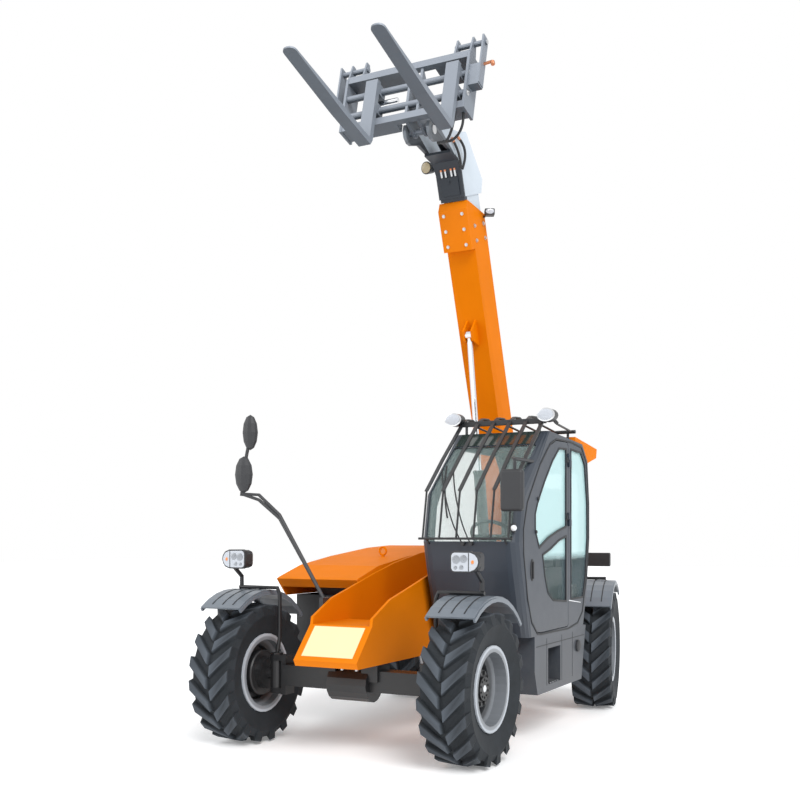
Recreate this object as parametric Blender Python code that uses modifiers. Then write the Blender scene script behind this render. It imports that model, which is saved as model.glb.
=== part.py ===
"""Compact telehandler with a raised telescopic boom and a pallet fork carriage.

Metres, +Z up. The machine faces -Y and its cab is on +X. Lengths along the machine are
given from the front axle with aft(), because the frame's own origin is on the ground in
the middle of the machine.
"""
import math

import bmesh
import bpy
from mathutils import Matrix, Vector

# Gaps
SEAT_GAP = 0.0003
PIN_GAP = 0.0005
RUN_GAP = 0.006
OVERRUN = 0.05
WELD = 0.00001

# Wheels, axles and steering
TYRE_RADIUS = 0.485
TYRE_WIDTH = 0.334
LUG_HEIGHT = 0.032
LUG_PITCHES = 18
LUG_SLANT_SHARE = 1.0
LUG_COLUMN_SHARES = (0.05, 0.45, 0.55, 0.95)
LUG_INNER_END = 0.014
SHOULDER_DROP = 0.010
SHOULDER_INSET = 0.012
SIDEWALL_DROP = 0.085
BEAD_OFFSET = 0.118
RIM_SEAT_RADIUS = 0.2427
RIM_FLANGE_RADIUS = 0.2724
RIM_FLANGE_OFFSET = 0.140
RIM_FLANGE_THICK = 0.0112
RIM_WALL = 0.012
RIM_DISC_OFFSET = -0.020
RIM_DISC_THICK = 0.012
RIM_WELL_DROP = 0.040
RIM_STEPS = 28
HUB_RADIUS = 0.120
HUB_NOSE_RADIUS = 0.075
HUB_INNER = -0.040
HUB_OUTER = 0.045
HUB_NOSE = 0.085
HUB_STEPS = 20
TRACK = 1.710
WHEELBASE = 2.538
REAR_STEER_REST = math.radians(11.24)
KINGPIN_X = 0.620
KINGPIN_RADIUS = 0.022
AXLE_BEAM_HALF_DEPTH = 0.065
AXLE_BEAM_HALF_HEIGHT = 0.070
DIFF_RADIUS = 0.118
DIFF_DROP = 0.027
DIFF_HALF_LENGTH = 0.150
SADDLE_X = 0.160
SADDLE_HALF = 0.060
YOKE_RADIUS = 0.050
YOKE_SET_SHARE = 1.6
YOKE_GAP_HALF = 0.095
YOKE_ARM_THICK = 0.036
YOKE_STEPS = 8
KNUCKLE_RADIUS = 0.048
KNUCKLE_ARM_SHARE = 0.9
CARRIER_INNER = 0.066
CARRIER_RADIUS = 0.110
CAP_RADIUS = 0.040
CAP_THICK = 0.014

# Fenders and their brackets; the long end faces the cab
FENDER_RADIUS = 0.566
FENDER_THICK = 0.013
FENDER_WIDTH = 0.334
FENDER_STEPS = 9
FENDER_LIP_PAST = math.radians(0.5)
FENDER_LONG_END = math.radians(48)
FENDER_SHORT_END = math.radians(36)
FENDER_RIM_DROP = 0.022
BRACKET_TUBE = 0.014
BRACKET_LEAN = 0.020
BRACKET_REACH = 0.120
BRACKET_RISE = 0.045
BRACKET_SPAN_SHARE = 0.25

# Head lamps on the front brackets
LAMP_WIDTH = 0.190
LAMP_HEIGHT = 0.125
LAMP_DEPTH = 0.110
LAMP_EDGE = 0.030
LAMP_BOTTOM = 1.215
LAMP_FORWARD = 0.100
LAMP_SHIFT = -0.019
LAMP_POST = 0.016

# Chassis: places behind the front axle, and overhangs behind the rear one
FRAME_HALF = 0.235
FRAME_WALL = 0.020
FRAME_BOTTOM = 0.600
FRAME_TOP = 1.340
FRAME_OVERHANG = 0.512
FRAME_TAIL = WHEELBASE + FRAME_OVERHANG
TAIL_TOP = 1.280
FLOOR_THICK = 0.018
CHANNEL_FLOOR = 0.856
CHANNEL_BACK = 0.300
CHANNEL_FOOT = 0.480
NOSE_FRONT = -0.378
NOSE_BACK = -0.179
NOSE_BEVEL = (0.020, 0.040)
FRAME_TOP_SHARES = (
    (0.061, 0.411), (0.131, 0.562), (0.207, 0.649), (0.300, 0.758), (0.393, 0.855),
    (0.522, 0.949), (0.665, 0.986), (0.825, 1.0),
)
COUNTERWEIGHT_DEPTH = 0.150
COUNTERWEIGHT_HALF = 0.450
COUNTERWEIGHT_TOP = 1.020
COUNTERWEIGHT_BOTTOM = 0.520
COUNTERWEIGHT_BEVELS = (0.030, 0.060, 0.080, 0.120)
REAR_END = FRAME_TAIL + COUNTERWEIGHT_DEPTH
LIGHT_BEAM_HALF = 0.830
LIGHT_BEAM_LOW = 1.165
LIGHT_BEAM_HIGH = 1.285
LIGHT_BEAM_THICK = 0.020
TAIL_LAMP_INSET = 0.010
TAIL_LAMP_WIDTH = 0.160
TAIL_LAMP_DEPTH = 0.055

# Boom: stations run from the pivot along the boom, rises away from its underside
PIVOT_BEHIND = 0.212
PIVOT_BACK = WHEELBASE + PIVOT_BEHIND
PIVOT_HEIGHT = 1.450
BOOM_ANGLE = math.radians(69.8)
BOOM_HALF_WIDTH = 0.123
BOOM_UNDER = -0.185
BOOM_TOP = 0.102
BOOM_WALL = 0.010
BOOM_FOOT = -0.130
BOOM_FOOT_RISES = (-0.125, 0.040)
BOOM_HOLLOW_START = 0.200
BOOM_END_LOW = 2.897
BOOM_END_TOP = 2.760
BOOM_LIP = (0.060, 0.020)
COLLAR_START = 2.517
COLLAR_DROP = 0.068
COVER_STATIONS = (1.260, 2.130)
COVER_RISE = 0.045
COVER_HALF = 0.090
BOOM_PIN_RADIUS = 0.030
INNER_HALF_WIDTH = 0.103
INNER_UNDER = -0.165
INNER_TOP = 0.082
INNER_WALL = 0.010
INNER_START = 0.750
HEAD_START = 2.925
HEAD_LAP = 0.030
HEAD_PLATE = 0.025
HEAD_HALF_WIDTH = 0.110
HEAD_UNDER = -0.205
HEAD_LENGTH = 0.575
HEAD_KNEE = (3.220, -0.250)
HEAD_HEEL = 3.120
HEAD_FRONT = (3.350, -0.500)
HEAD_TOP_SHARES = ((0.843, -0.170), (0.835, -0.020), (0.183, 0.190), (0.0, 0.130))
NECK_WEB = 0.020
NECK_END = (3.285, -0.375)
PAD_HALF = 0.060
PAD_LENGTH = 0.140
PAD_SETBACK = 0.030
NECK_PIN_RADIUS = 0.022
NECK_BOSS = 0.082
NECK_BOSS_TURNS = tuple(math.radians(angle) for angle in (185, 220, 255, 290, 325))

# Boom towers and lift cylinder
TOWER_INNER = 0.130
TOWER_WALL = 0.030
TOWER_REACH = 0.270
TOWER_NECK = 0.110
TOWER_RISE = 0.130
TOWER_SHOULDER = 1.300
TOWER_WEB = 0.020
TOWER_WEB_LOW = 1.000
LIFT_BASE_AHEAD = 0.238
LIFT_BASE_BACK = WHEELBASE - LIFT_BASE_AHEAD
LIFT_BASE_HEIGHT = 0.700
LIFT_EYE_STATION = 1.843
LIFT_EYE_DROP = 0.075
LIFT_BARREL_RADIUS = 0.048
LIFT_NECK_LENGTH = 0.075
LIFT_BORE_START = 0.110
LIFT_BARREL_LENGTH = 1.300
LIFT_ROD_RADIUS = 0.023
LIFT_ROD_LENGTH = 1.260
LIFT_EYE_RADIUS = 0.040
LIFT_HEAD_RADIUS = 0.034
LIFT_EYE_HALF = 0.028
LIFT_PIN_RADIUS = 0.018
LUG_PLATE = 0.016
LUG_EDGE = 0.040
LUG_FOOT = 0.110
CHEEK_EDGE = 0.045
CHEEK_FOOT = 0.090
PIN_END = 0.012

# Fork carriage: reach runs along the blades, rise along the shanks
FORK_CORNER_STATION = 3.456
FORK_CORNER_RISE = -0.910
FORK_TILT = math.radians(14.6)
FORK_LENGTH = 1.045
FORK_X = 0.332
FORK_WIDTH = 0.100
FORK_THICK = 0.045
FORK_HEEL_SHARE = 0.55
FORK_HEEL_REACH = 0.380
FORK_TIP_THICK = 0.012
FORK_TIP_RADIUS = 0.042
FORK_TIP_STEPS = 4
SHANK_HEIGHT = 0.495
CARRIAGE_HALF = 0.520
CARRIAGE_SHIFT = -0.083
BEAM_HEIGHT = 0.055
BEAM_DEPTH = 0.140
BEAM_REACH = -0.060
BEAM_NOTCH_HALF = 0.135
BEAM_NOTCH_DEPTH = 0.055
LOWER_BEAM_RISE = 0.145
UPPER_BEAM_RISE = 0.560
END_PLATE = 0.020
END_PLATE_DEPTH = 0.165
SHAFT_RADIUS = 0.026
SHAFT_REACH = -0.090
SHAFT_RISES = (0.280, 0.438)
HOOK_BACK = 0.030
EAR_RISE = 0.135
EAR_PIN_SHARE = 0.6
EAR_PLATE = 0.014
EAR_INSETS = (0.004, 0.128)
EAR_TRIM = 0.012
EAR_PIN_RADIUS = 0.020
PLATE_LAP = 0.004
LATCH_WIDTH = 0.085
LATCH_RISES = (0.330, 0.500)
LATCH_DEPTH = 0.090
TILT_PIN_REACH = -0.245
TILT_PIN_RISE = 0.145
TILT_EYE_REACH = -0.281
TILT_EYE_RISE = 0.352
TILT_LUG_INNER = 0.036
TILT_LUG_OUTER = 0.056
TILT_LUG_EDGE = 0.040
TILT_BASE = (3.020, 0.050)
TILT_BARREL_RADIUS = 0.040
TILT_BARREL_LENGTH = 0.470
TILT_TRUNNION_RADIUS = 0.028
TILT_BORE_START = 0.020
TILT_ROD_RADIUS = 0.020
TILT_ROD_LENGTH = 0.480
TILT_EYE_RADIUS = 0.028

# Cab: its outline and openings are shares of its length and height
CAB_FRONT = 0.430
CAB_REAR_AHEAD = 0.563
CAB_REAR = WHEELBASE - CAB_REAR_AHEAD
CAB_INNER_X = 0.265
CAB_OUTER_X = 0.985
CAB_WALL = 0.035
CAB_FLOOR = 0.745
CAB_ROOF = 2.185
CAB_CORNER = 0.085
CAB_CORNER_STEPS = 4
SCREEN_MARGIN = 0.044
SCREEN_SHARES = (0.455, 0.925)
ROOF_WINDOW_SHARES = (0.440, 0.800)
ROOF_MARGIN = 0.070
REAR_MARGIN = 0.080
REAR_WINDOW_SHARES = (0.350, 0.820)
GLASS = 0.006
GLASS_INSET = 0.012
SIDE_GLASS_INSET = 0.016
DOOR_HINGE_OUT = 0.012
DOOR_GAP = 0.006
DOOR_HINGE_RADIUS = 0.0115
DOOR_HINGE_SHARES = (0.566, 0.872)
DOOR_HINGE_TALL = 0.050
DOOR_LEAF = 0.032
CAB_SHARES = (
    (0.136, 0.0), (0.084, 0.142), (0.032, 0.316), (0.0, 0.451), (0.045, 0.694),
    (0.214, 0.856), (0.395, 1.0), (0.887, 0.972), (0.971, 0.885), (1.0, 0.663),
    (1.0, 0.469), (0.968, 0.247), (0.932, 0.108), (0.900, 0.0),
)
CAB_FRONT_CORNERS = range(7)
DOOR_REAR_SHARE = 0.669
DOOR_SHARES = (
    (0.290, 0.015), (0.251, 0.020), (0.183, 0.076), (0.135, 0.188), (0.086, 0.403),
    (0.085, 0.510), (0.130, 0.633), (0.205, 0.722), (0.291, 0.823), (0.421, 0.930),
    (0.500, 0.958), (0.650, 0.962), (DOOR_REAR_SHARE, 0.945), (DOOR_REAR_SHARE, 0.025),
    (0.655, 0.015),
)
UPPER_WINDOW_SHARES = (
    (0.272, 0.426), (0.223, 0.504), (0.222, 0.585), (0.250, 0.637), (0.339, 0.744),
    (0.450, 0.856), (0.540, 0.922), (0.640, 0.926), (0.640, 0.530), (0.517, 0.506),
    (0.392, 0.474),
)
LOWER_WINDOW_SHARES = (
    (0.316, 0.389), (0.344, 0.288), (0.385, 0.203), (0.458, 0.161), (0.640, 0.146),
    (0.640, 0.478), (0.539, 0.459), (0.413, 0.414),
)
QUARTER_SHARES = (
    (0.712, 0.153), (0.712, 0.930), (0.870, 0.924), (0.929, 0.861), (0.968, 0.650),
    (0.970, 0.470), (0.938, 0.260), (0.896, 0.153),
)
FAR_WINDOW_SHARES = (
    (0.214, 0.302), (0.110, 0.455), (0.136, 0.622), (0.201, 0.726), (0.324, 0.844),
    (0.440, 0.920), (0.874, 0.920), (0.926, 0.857), (0.961, 0.649), (0.961, 0.455),
    (0.939, 0.302),
)

# Guard bars and roof lamps
GUARD_BARS = 6
GUARD_TUBE = 0.008
GUARD_STAND = 0.045
GUARD_LOW = 1.420
GUARD_SIDE = 0.045
GUARD_INSET = 0.030
GUARD_FOOT_RADIUS = 0.006
GUARD_HEIGHT_SHARES = (0.694, 0.856)
ROOF_RAIL_BACK = 1.060
ROOF_RAIL_RISE = 0.078
ROOF_RAIL_TUBE = 0.014
ROOF_RAIL_POST = 0.010
ROOF_HUMP = ((0.070, 0.035), (0.160, 0.040), (0.280, 0.000), (0.620, -0.030))
ROOF_REAR_RAIL = 1.680
ROOF_LAMP_OUT = 0.045
ROOF_LAMP_RISE = 0.030
ROOF_LAMP_DEPTH = 0.080
ROOF_LAMP_WIDE = 0.066
ROOF_LAMP_TALL = 0.048

# Orange cover behind the cab's roof
ROOF_COVER_X = (0.500, 0.965)
ROOF_COVER_BACKS = (1.690, 2.240)
ROOF_COVER_HEIGHTS = (1.960, 2.195)
ROOF_COVER_SHARES = ((0.0, 1.0), (0.0, 0.60), (0.42, 0.0), (0.52, 0.20), (0.965, 0.45), (1.0, 0.76))

# Seat and dashboard
SEAT_HALF = 0.240
SEAT_BASE_HALF = 0.200
SEAT_BACK_HALF = 0.210
SEAT_FRONT = 1.200
SEAT_LENGTH = 0.500
SEAT_BASE_INSET = 0.080
SEAT_BASE_TALL = 0.300
SEAT_PAN = (0.280, 0.420)
SEAT_REST_FOOT = 0.380
SEAT_REST_TOP = 1.020
SEAT_REST_THICK = 0.095
SEAT_REST_LEAN = 0.125
DASH_HALF = 0.240
DASH_BACKS = (0.600, 0.830)
DASH_TALL = 0.520
DASH_SHARES = ((0.39, 0.0), (0.78, 0.0), (1.0, 0.62), (0.61, 1.0), (0.0, 1.0), (0.17, 0.33))
COLUMN_FOOT = (0.720, 1.230)
COLUMN_TOP = (0.900, 1.430)
COLUMN_RADIUS = 0.025
STEERING_WHEEL_RADIUS = 0.165
STEERING_WHEEL_TUBE = 0.014
STEERING_WHEEL_STEPS = 20
SPOKE_HALF = (0.018, 0.008)

# Left side: steps and tank under the cab
SKIRT_INNER_X = 0.640
SKIRT_FRONT = 0.820
SKIRT_REAR_AHEAD = 0.758
SKIRT_BACK = WHEELBASE - SKIRT_REAR_AHEAD
SKIRT_LOW = 0.335
SKIRT_FLARE = 0.060
SKIRT_TOP_LEAN = 0.105
SKIRT_KNEE = 0.500
STEP_FRONT = 1.030
STEP_BACK = 1.290
STEP_LOW = 0.385
STEP_HIGH = 0.640
STEP_DEPTH = 0.180
CAB_MOUNT_BACKS = (0.900, 1.700)
CAB_MOUNT_HEIGHTS = (0.640, 0.730)

# Right side: hood and engine bay
HOOD_OUTER_X = -0.930
HOOD_INNER_X = -0.241
HOOD_WALL = 0.012
HOOD_FRONT = 0.440
HOOD_BEHIND = 0.082
HOOD_BACK = WHEELBASE + HOOD_BEHIND
HOOD_LOW = 0.993
HOOD_TOP = 1.352
HOOD_SHARES = (
    (0.055, 0.0), (0.0, 0.355), (0.018, 0.396), (0.147, 0.618), (0.353, 0.786),
    (0.630, 0.953), (0.807, 1.0), (1.0, 0.975), (1.0, 0.396), (0.711, 0.396), (0.683, 0.0),
)
HOOD_OPEN_CORNERS = (0, 8, 9, 10)
HOOD_HINGE_DROP = 0.012
BAY_FRONT = 0.680
BAY_LOW = 0.480
BAY_REAR_AHEAD = 0.658
BAY_BACK = WHEELBASE - BAY_REAR_AHEAD
BAY_WALL = 0.020
ENGINE_INSETS = (0.110, 0.045)
ENGINE_BACKS = (0.850, 1.780)
ENGINE_TOP = 1.050

# Right mirrors on their long arm
MIRROR_ARM_TUBE = 0.012
MIRROR_ARM_SPREAD = 0.045
MIRROR_FOOT = (0.030, 0.110, 0.070)
MIRROR_FOOT_BACK = -0.020
MIRROR_FOOT_HEIGHT = 0.950
MIRROR_TIP_X = -0.925
MIRROR_TIP_HEIGHT = 1.735
MIRROR_ARM_SHARES = ((0.037, 0.060), (0.537, 0.766), (0.787, 0.940))
MIRROR_STEM_RISES = (-0.015, 0.215, 0.365)
MIRROR_STEM_LEANS = (0.0, 0.030, 0.065)
MIRROR_DEPTH = 0.035
MIRROR_HEADS = ((0.020, 0.135, 0.075, 0.130), (0.075, 0.430, 0.062, 0.125))

# Left mirror on the cab's pillar
CAB_MIRROR_LOW = (0.936, 0.335, 1.612)
CAB_MIRROR_SIZE = (0.122, 0.050, 0.258)
CAB_MIRROR_EDGE = 0.020
CAB_MIRROR_ARM_RISE = 0.080
CAB_MIRROR_ARM_BACK = 0.060


def aft(distance):
    """Y of a place that lies this far behind the front axle."""
    return distance - (REAR_END - TYRE_RADIUS) / 2


def boom_point(station, rise, x=0.0):
    """World place from a station along the boom and a rise above its pivot line."""
    back = -station * math.cos(BOOM_ANGLE) + rise * math.sin(BOOM_ANGLE)
    up = station * math.sin(BOOM_ANGLE) + rise * math.cos(BOOM_ANGLE)
    return Vector((x, aft(PIVOT_BACK) + back, PIVOT_HEIGHT + up))


def fork_point(reach, rise, x=0.0):
    """World place from a reach along the fork blades and a rise along their shanks."""
    back = -reach * math.cos(FORK_TILT) + rise * math.sin(FORK_TILT)
    up = reach * math.sin(FORK_TILT) + rise * math.cos(FORK_TILT)
    return boom_point(FORK_CORNER_STATION, FORK_CORNER_RISE, x) + Vector((0, back, up))


def side(point):
    """The (y, z) pair of a world place."""
    return (point.y, point.z)


def offset_outline(outline, distance):
    """Move each edge of a closed outline outward by a distance (inward if negative)."""
    count = len(outline)
    area = sum(outline[i][0] * outline[(i + 1) % count][1]
               - outline[(i + 1) % count][0] * outline[i][1] for i in range(count))
    turn = 1.0 if area > 0 else -1.0
    moved = []
    for i in range(count):
        before = Vector(outline[i]) - Vector(outline[i - 1])
        after = Vector(outline[(i + 1) % count]) - Vector(outline[i])
        n_before = Vector((before.y, -before.x)).normalized() * turn
        n_after = Vector((after.y, -after.x)).normalized() * turn
        mean = (n_before + n_after) / (1 + n_before.dot(n_after))
        moved.append(tuple(Vector(outline[i]) + mean * distance))
    return moved


def spread(shares, low, high):
    """Points given as shares of the rectangle between two corners."""
    return [(low[0] + u * (high[0] - low[0]), low[1] + v * (high[1] - low[1]))
            for u, v in shares]


def bore_radius(pin_radius, sides):
    """Radius of a faceted bore that clears its pin at every turn."""
    return (pin_radius + PIN_GAP) / math.cos(math.pi / sides)


def arc(centre, radius, start, end, steps):
    """Points on an arc in the plane, both ends included."""
    return [(centre[0] + radius * math.cos(start + (end - start) * i / steps),
             centre[1] + radius * math.sin(start + (end - start) * i / steps))
            for i in range(steps + 1)]


def clear_scene():
    for item in list(bpy.data.objects):
        bpy.data.objects.remove(item, do_unlink=True)
    for group in list(bpy.data.collections):
        bpy.data.collections.remove(group)


def new_collection(name):
    group = bpy.data.collections.new(name)
    bpy.context.scene.collection.children.link(group)
    return group


clear_scene()
MODEL = new_collection("telehandler")
CUTTERS = new_collection("cutters")


def make_material(name, colour, roughness, metallic=0.0, alpha=1.0):
    material = bpy.data.materials.new(name)
    material.use_nodes = True
    shader = material.node_tree.nodes["Principled BSDF"]
    shader.inputs["Base Color"].default_value = (*colour, 1.0)
    shader.inputs["Roughness"].default_value = roughness
    shader.inputs["Metallic"].default_value = metallic
    shader.inputs["Alpha"].default_value = alpha
    return material


ORANGE = make_material("orange_paint", (0.87, 0.25, 0.005), 0.35)
SLATE = make_material("slate_paint", (0.07, 0.085, 0.105), 0.45)
PALE = make_material("pale_grey_paint", (0.62, 0.66, 0.70), 0.40)
STEEL = make_material("fork_grey_paint", (0.13, 0.155, 0.18), 0.45)
BLACK = make_material("black_paint", (0.012, 0.012, 0.014), 0.45)
SILVER = make_material("rim_silver", (0.55, 0.58, 0.62), 0.35)
RUBBER = make_material("tyre_rubber", (0.025, 0.03, 0.036), 0.75)
CHROME = make_material("chrome_rod", (0.75, 0.75, 0.77), 0.12, 1.0)
CLEAR = make_material("tinted_glass", (0.55, 0.80, 0.80), 0.05, 0.0, 0.35)
TRIM = make_material("black_plastic", (0.02, 0.02, 0.022), 0.55)


def keep(piece, material):
    """Make a shape one of the model's own pieces."""
    piece.data.materials.clear()
    piece.data.materials.append(material)
    for group in list(piece.users_collection):
        group.objects.unlink(piece)
    MODEL.objects.link(piece)
    return piece


def hide_tool(piece):
    """Keep a shape only as something that adds to or cuts another."""
    for group in list(piece.users_collection):
        group.objects.unlink(piece)
    CUTTERS.objects.link(piece)
    piece.hide_render = True
    piece.display_type = 'WIRE'
    return piece


def as_mesh(piece):
    """Turn a curve or a piece with modifiers into a welded mesh object."""
    bpy.context.view_layer.update()
    graph = bpy.context.evaluated_depsgraph_get()
    mesh = bpy.data.meshes.new_from_object(piece.evaluated_get(graph))
    shape = bmesh.new()
    shape.from_mesh(mesh)
    bmesh.ops.remove_doubles(shape, verts=shape.verts, dist=WELD)
    bmesh.ops.recalc_face_normals(shape, faces=shape.faces)
    shape.to_mesh(mesh)
    shape.free()
    name = piece.name
    place = piece.matrix_world.copy()
    bpy.data.objects.remove(piece, do_unlink=True)
    made = bpy.data.objects.new(name, mesh)
    made.matrix_world = place
    CUTTERS.objects.link(made)
    return made


def from_bmesh(name, shape, place):
    mesh = bpy.data.meshes.new(name)
    shape.to_mesh(mesh)
    shape.free()
    piece = bpy.data.objects.new(name, mesh)
    piece.matrix_world = place
    CUTTERS.objects.link(piece)
    return piece


def box(name, low, high):
    """Upright box between two corners."""
    low, high = Vector(low), Vector(high)
    shape = bmesh.new()
    bmesh.ops.create_cube(shape, size=1.0)
    bmesh.ops.scale(shape, vec=high - low, verts=shape.verts)
    return from_bmesh(name, shape, Matrix.Translation((low + high) / 2))


def soft_box(name, low, high, radius):
    """Upright box with rounded edges."""
    low, high = Vector(low), Vector(high)
    shape = bmesh.new()
    bmesh.ops.create_cube(shape, size=1.0)
    bmesh.ops.scale(shape, vec=high - low, verts=shape.verts)
    bmesh.ops.bevel(shape, geom=shape.edges, offset=radius, segments=2, profile=0.5,
                    affect='EDGES', clamp_overlap=True)
    return from_bmesh(name, shape, Matrix.Translation((low + high) / 2))


def rod(name, start, end, radius, segments=16, end_radius=None):
    """Round bar between two places."""
    start, end = Vector(start), Vector(end)
    along = end - start
    shape = bmesh.new()
    bmesh.ops.create_cone(shape, cap_ends=True, segments=segments, radius1=radius,
                          radius2=radius if end_radius is None else end_radius,
                          depth=along.length)
    turn = along.to_track_quat('Z', 'Y').to_matrix().to_4x4()
    return from_bmesh(name, shape, Matrix.Translation((start + end) / 2) @ turn)


def ball(name, centre, sizes, segments=16):
    shape = bmesh.new()
    bmesh.ops.create_uvsphere(shape, u_segments=segments, v_segments=segments // 2, radius=1.0)
    bmesh.ops.scale(shape, vec=Vector(sizes), verts=shape.verts)
    return from_bmesh(name, shape, Matrix.Translation(centre))


PLANES = {
    'X': Matrix(((0, 0, 1, 0), (1, 0, 0, 0), (0, 1, 0, 0), (0, 0, 0, 1))),
    'Y': Matrix(((1, 0, 0, 0), (0, 0, -1, 0), (0, 1, 0, 0), (0, 0, 0, 1))),
    'Z': Matrix.Identity(4),
}


def slab(name, outline, low, high, axis='X', holes=()):
    """Flat outline with holes, thick from low to high along an axis."""
    middle = (low + high) / 2
    place = PLANES[axis] @ Matrix.Translation((0, 0, -middle if axis == 'Y' else middle))
    if not holes:
        half = (high - low) / 2
        shape = bmesh.new()
        ends = [[shape.verts.new((u, v, level)) for u, v in outline] for level in (-half, half)]
        shape.faces.new(ends[0])
        shape.faces.new(ends[1])
        for i in range(len(outline)):
            shape.faces.new((ends[0][i - 1], ends[0][i], ends[1][i], ends[1][i - 1]))
        bmesh.ops.recalc_face_normals(shape, faces=shape.faces)
        return from_bmesh(name, shape, place)
    curve = bpy.data.curves.new(name, 'CURVE')
    curve.dimensions = '2D'
    curve.fill_mode = 'BOTH'
    curve.extrude = (high - low) / 2
    for loop in (outline, *holes):
        spline = curve.splines.new('POLY')
        spline.points.add(len(loop) - 1)
        for point, (u, v) in zip(spline.points, loop):
            point.co = (u, v, 0.0, 1.0)
        spline.use_cyclic_u = True
    piece = bpy.data.objects.new(name, curve)
    piece.matrix_world = place
    CUTTERS.objects.link(piece)
    return as_mesh(piece)


def loft(name, sections):
    """Closed skin over sections of (x, outline) with equally many points."""
    shape = bmesh.new()
    rings = [[shape.verts.new((x, y, z)) for y, z in outline] for x, outline in sections]
    for before, after in zip(rings, rings[1:]):
        for i in range(len(before)):
            shape.faces.new((before[i - 1], before[i], after[i], after[i - 1]))
    bmesh.ops.triangulate(shape, faces=shape.faces)
    shape.faces.new(rings[0])
    shape.faces.new(rings[-1])
    bmesh.ops.recalc_face_normals(shape, faces=shape.faces)
    return from_bmesh(name, shape, Matrix.Identity(4))


def tube(name, points, radius, resolution=1):
    """Round tube through a list of places."""
    curve = bpy.data.curves.new(name, 'CURVE')
    curve.dimensions = '3D'
    curve.bevel_depth = radius
    curve.bevel_resolution = resolution
    curve.use_fill_caps = True
    spline = curve.splines.new('POLY')
    spline.points.add(len(points) - 1)
    for point, place in zip(spline.points, points):
        point.co = (*place, 1.0)
    piece = bpy.data.objects.new(name, curve)
    CUTTERS.objects.link(piece)
    return as_mesh(piece)


def turned(name, profile, steps, place):
    """Profile of (radius, height) pairs turned about the local Z axis."""
    mesh = bpy.data.meshes.new(name)
    edges = [(i, (i + 1) % len(profile)) for i in range(len(profile))]
    mesh.from_pydata([(r, 0.0, h) for r, h in profile], edges, [])
    piece = bpy.data.objects.new(name, mesh)
    piece.matrix_world = place
    CUTTERS.objects.link(piece)
    screw = piece.modifiers.new("turn", 'SCREW')
    screw.steps = steps
    screw.render_steps = steps
    screw.use_merge_vertices = True
    screw.merge_threshold = WELD
    return as_mesh(piece)


def joined(base, adds=(), cuts=()):
    """Fuse shapes to a base and cut others out of it."""
    for operation, tools in (('UNION', adds), ('DIFFERENCE', cuts)):
        for tool in tools:
            hide_tool(tool)
            change = base.modifiers.new(tool.name, 'BOOLEAN')
            change.operation = operation
            change.solver = 'EXACT'
            change.object = tool
    return base


def overlap(base, tool):
    hide_tool(tool)
    change = base.modifiers.new(tool.name, 'BOOLEAN')
    change.operation = 'INTERSECT'
    change.solver = 'EXACT'
    change.object = tool
    return base


def pivot(name, place, turn=0.0):
    """Empty on a joint's axis, which carries the pieces that move with it."""
    mark = bpy.data.objects.new(name, None)
    mark.matrix_world = Matrix.Translation(place) @ Matrix.Rotation(turn, 4, 'Z')
    mark.hide_render = True
    MODEL.objects.link(mark)
    return mark


def carry(mark, *pieces):
    bpy.context.view_layer.update()
    for piece in pieces:
        piece.parent = mark
        piece.matrix_parent_inverse = mark.matrix_world.inverted()


def smooth(piece, angle=math.radians(35)):
    piece.data.shade_smooth()
    piece.data.set_sharp_from_angle(angle=angle)
    return piece


# Wheel corners: name, side of the machine, distance behind the front axle, resting turn
CORNERS = (
    ("front_left", 1, 0.0, 0.0),
    ("front_right", -1, 0.0, 0.0),
    ("rear_left", 1, WHEELBASE, REAR_STEER_REST),
    ("rear_right", -1, WHEELBASE, REAR_STEER_REST),
)
WHEEL_REACH = TRACK / 2 - KINGPIN_X


def corner_frame(hand, back, turn):
    """Frame on the kingpin at axle height, whose X runs outward along the stub axle."""
    place = Matrix.Translation((hand * KINGPIN_X, aft(back), TYRE_RADIUS))
    facing = Matrix.Rotation(turn if hand > 0 else turn + math.pi, 4, 'Z')
    return place @ facing


def outward(frame):
    """The same frame with its Z along the stub axle, for turned pieces."""
    return frame @ Matrix.Rotation(math.pi / 2, 4, 'Y')


def tyre_rows(raised):
    """Half of the tyre's section, from the centre line to the bead: (offset, radius)."""
    lug = LUG_HEIGHT if raised else 0.0
    base = TYRE_RADIUS - LUG_HEIGHT
    shoulder = TYRE_WIDTH / 2 - (0.0 if raised else SHOULDER_INSET)
    return (
        (LUG_INNER_END, base + lug),
        (shoulder - SHOULDER_DROP, base + lug - SHOULDER_DROP),
        (TYRE_WIDTH / 2, TYRE_RADIUS - SIDEWALL_DROP),
        (BEAD_OFFSET, RIM_SEAT_RADIUS + 2 * SEAT_GAP),
    )


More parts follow.
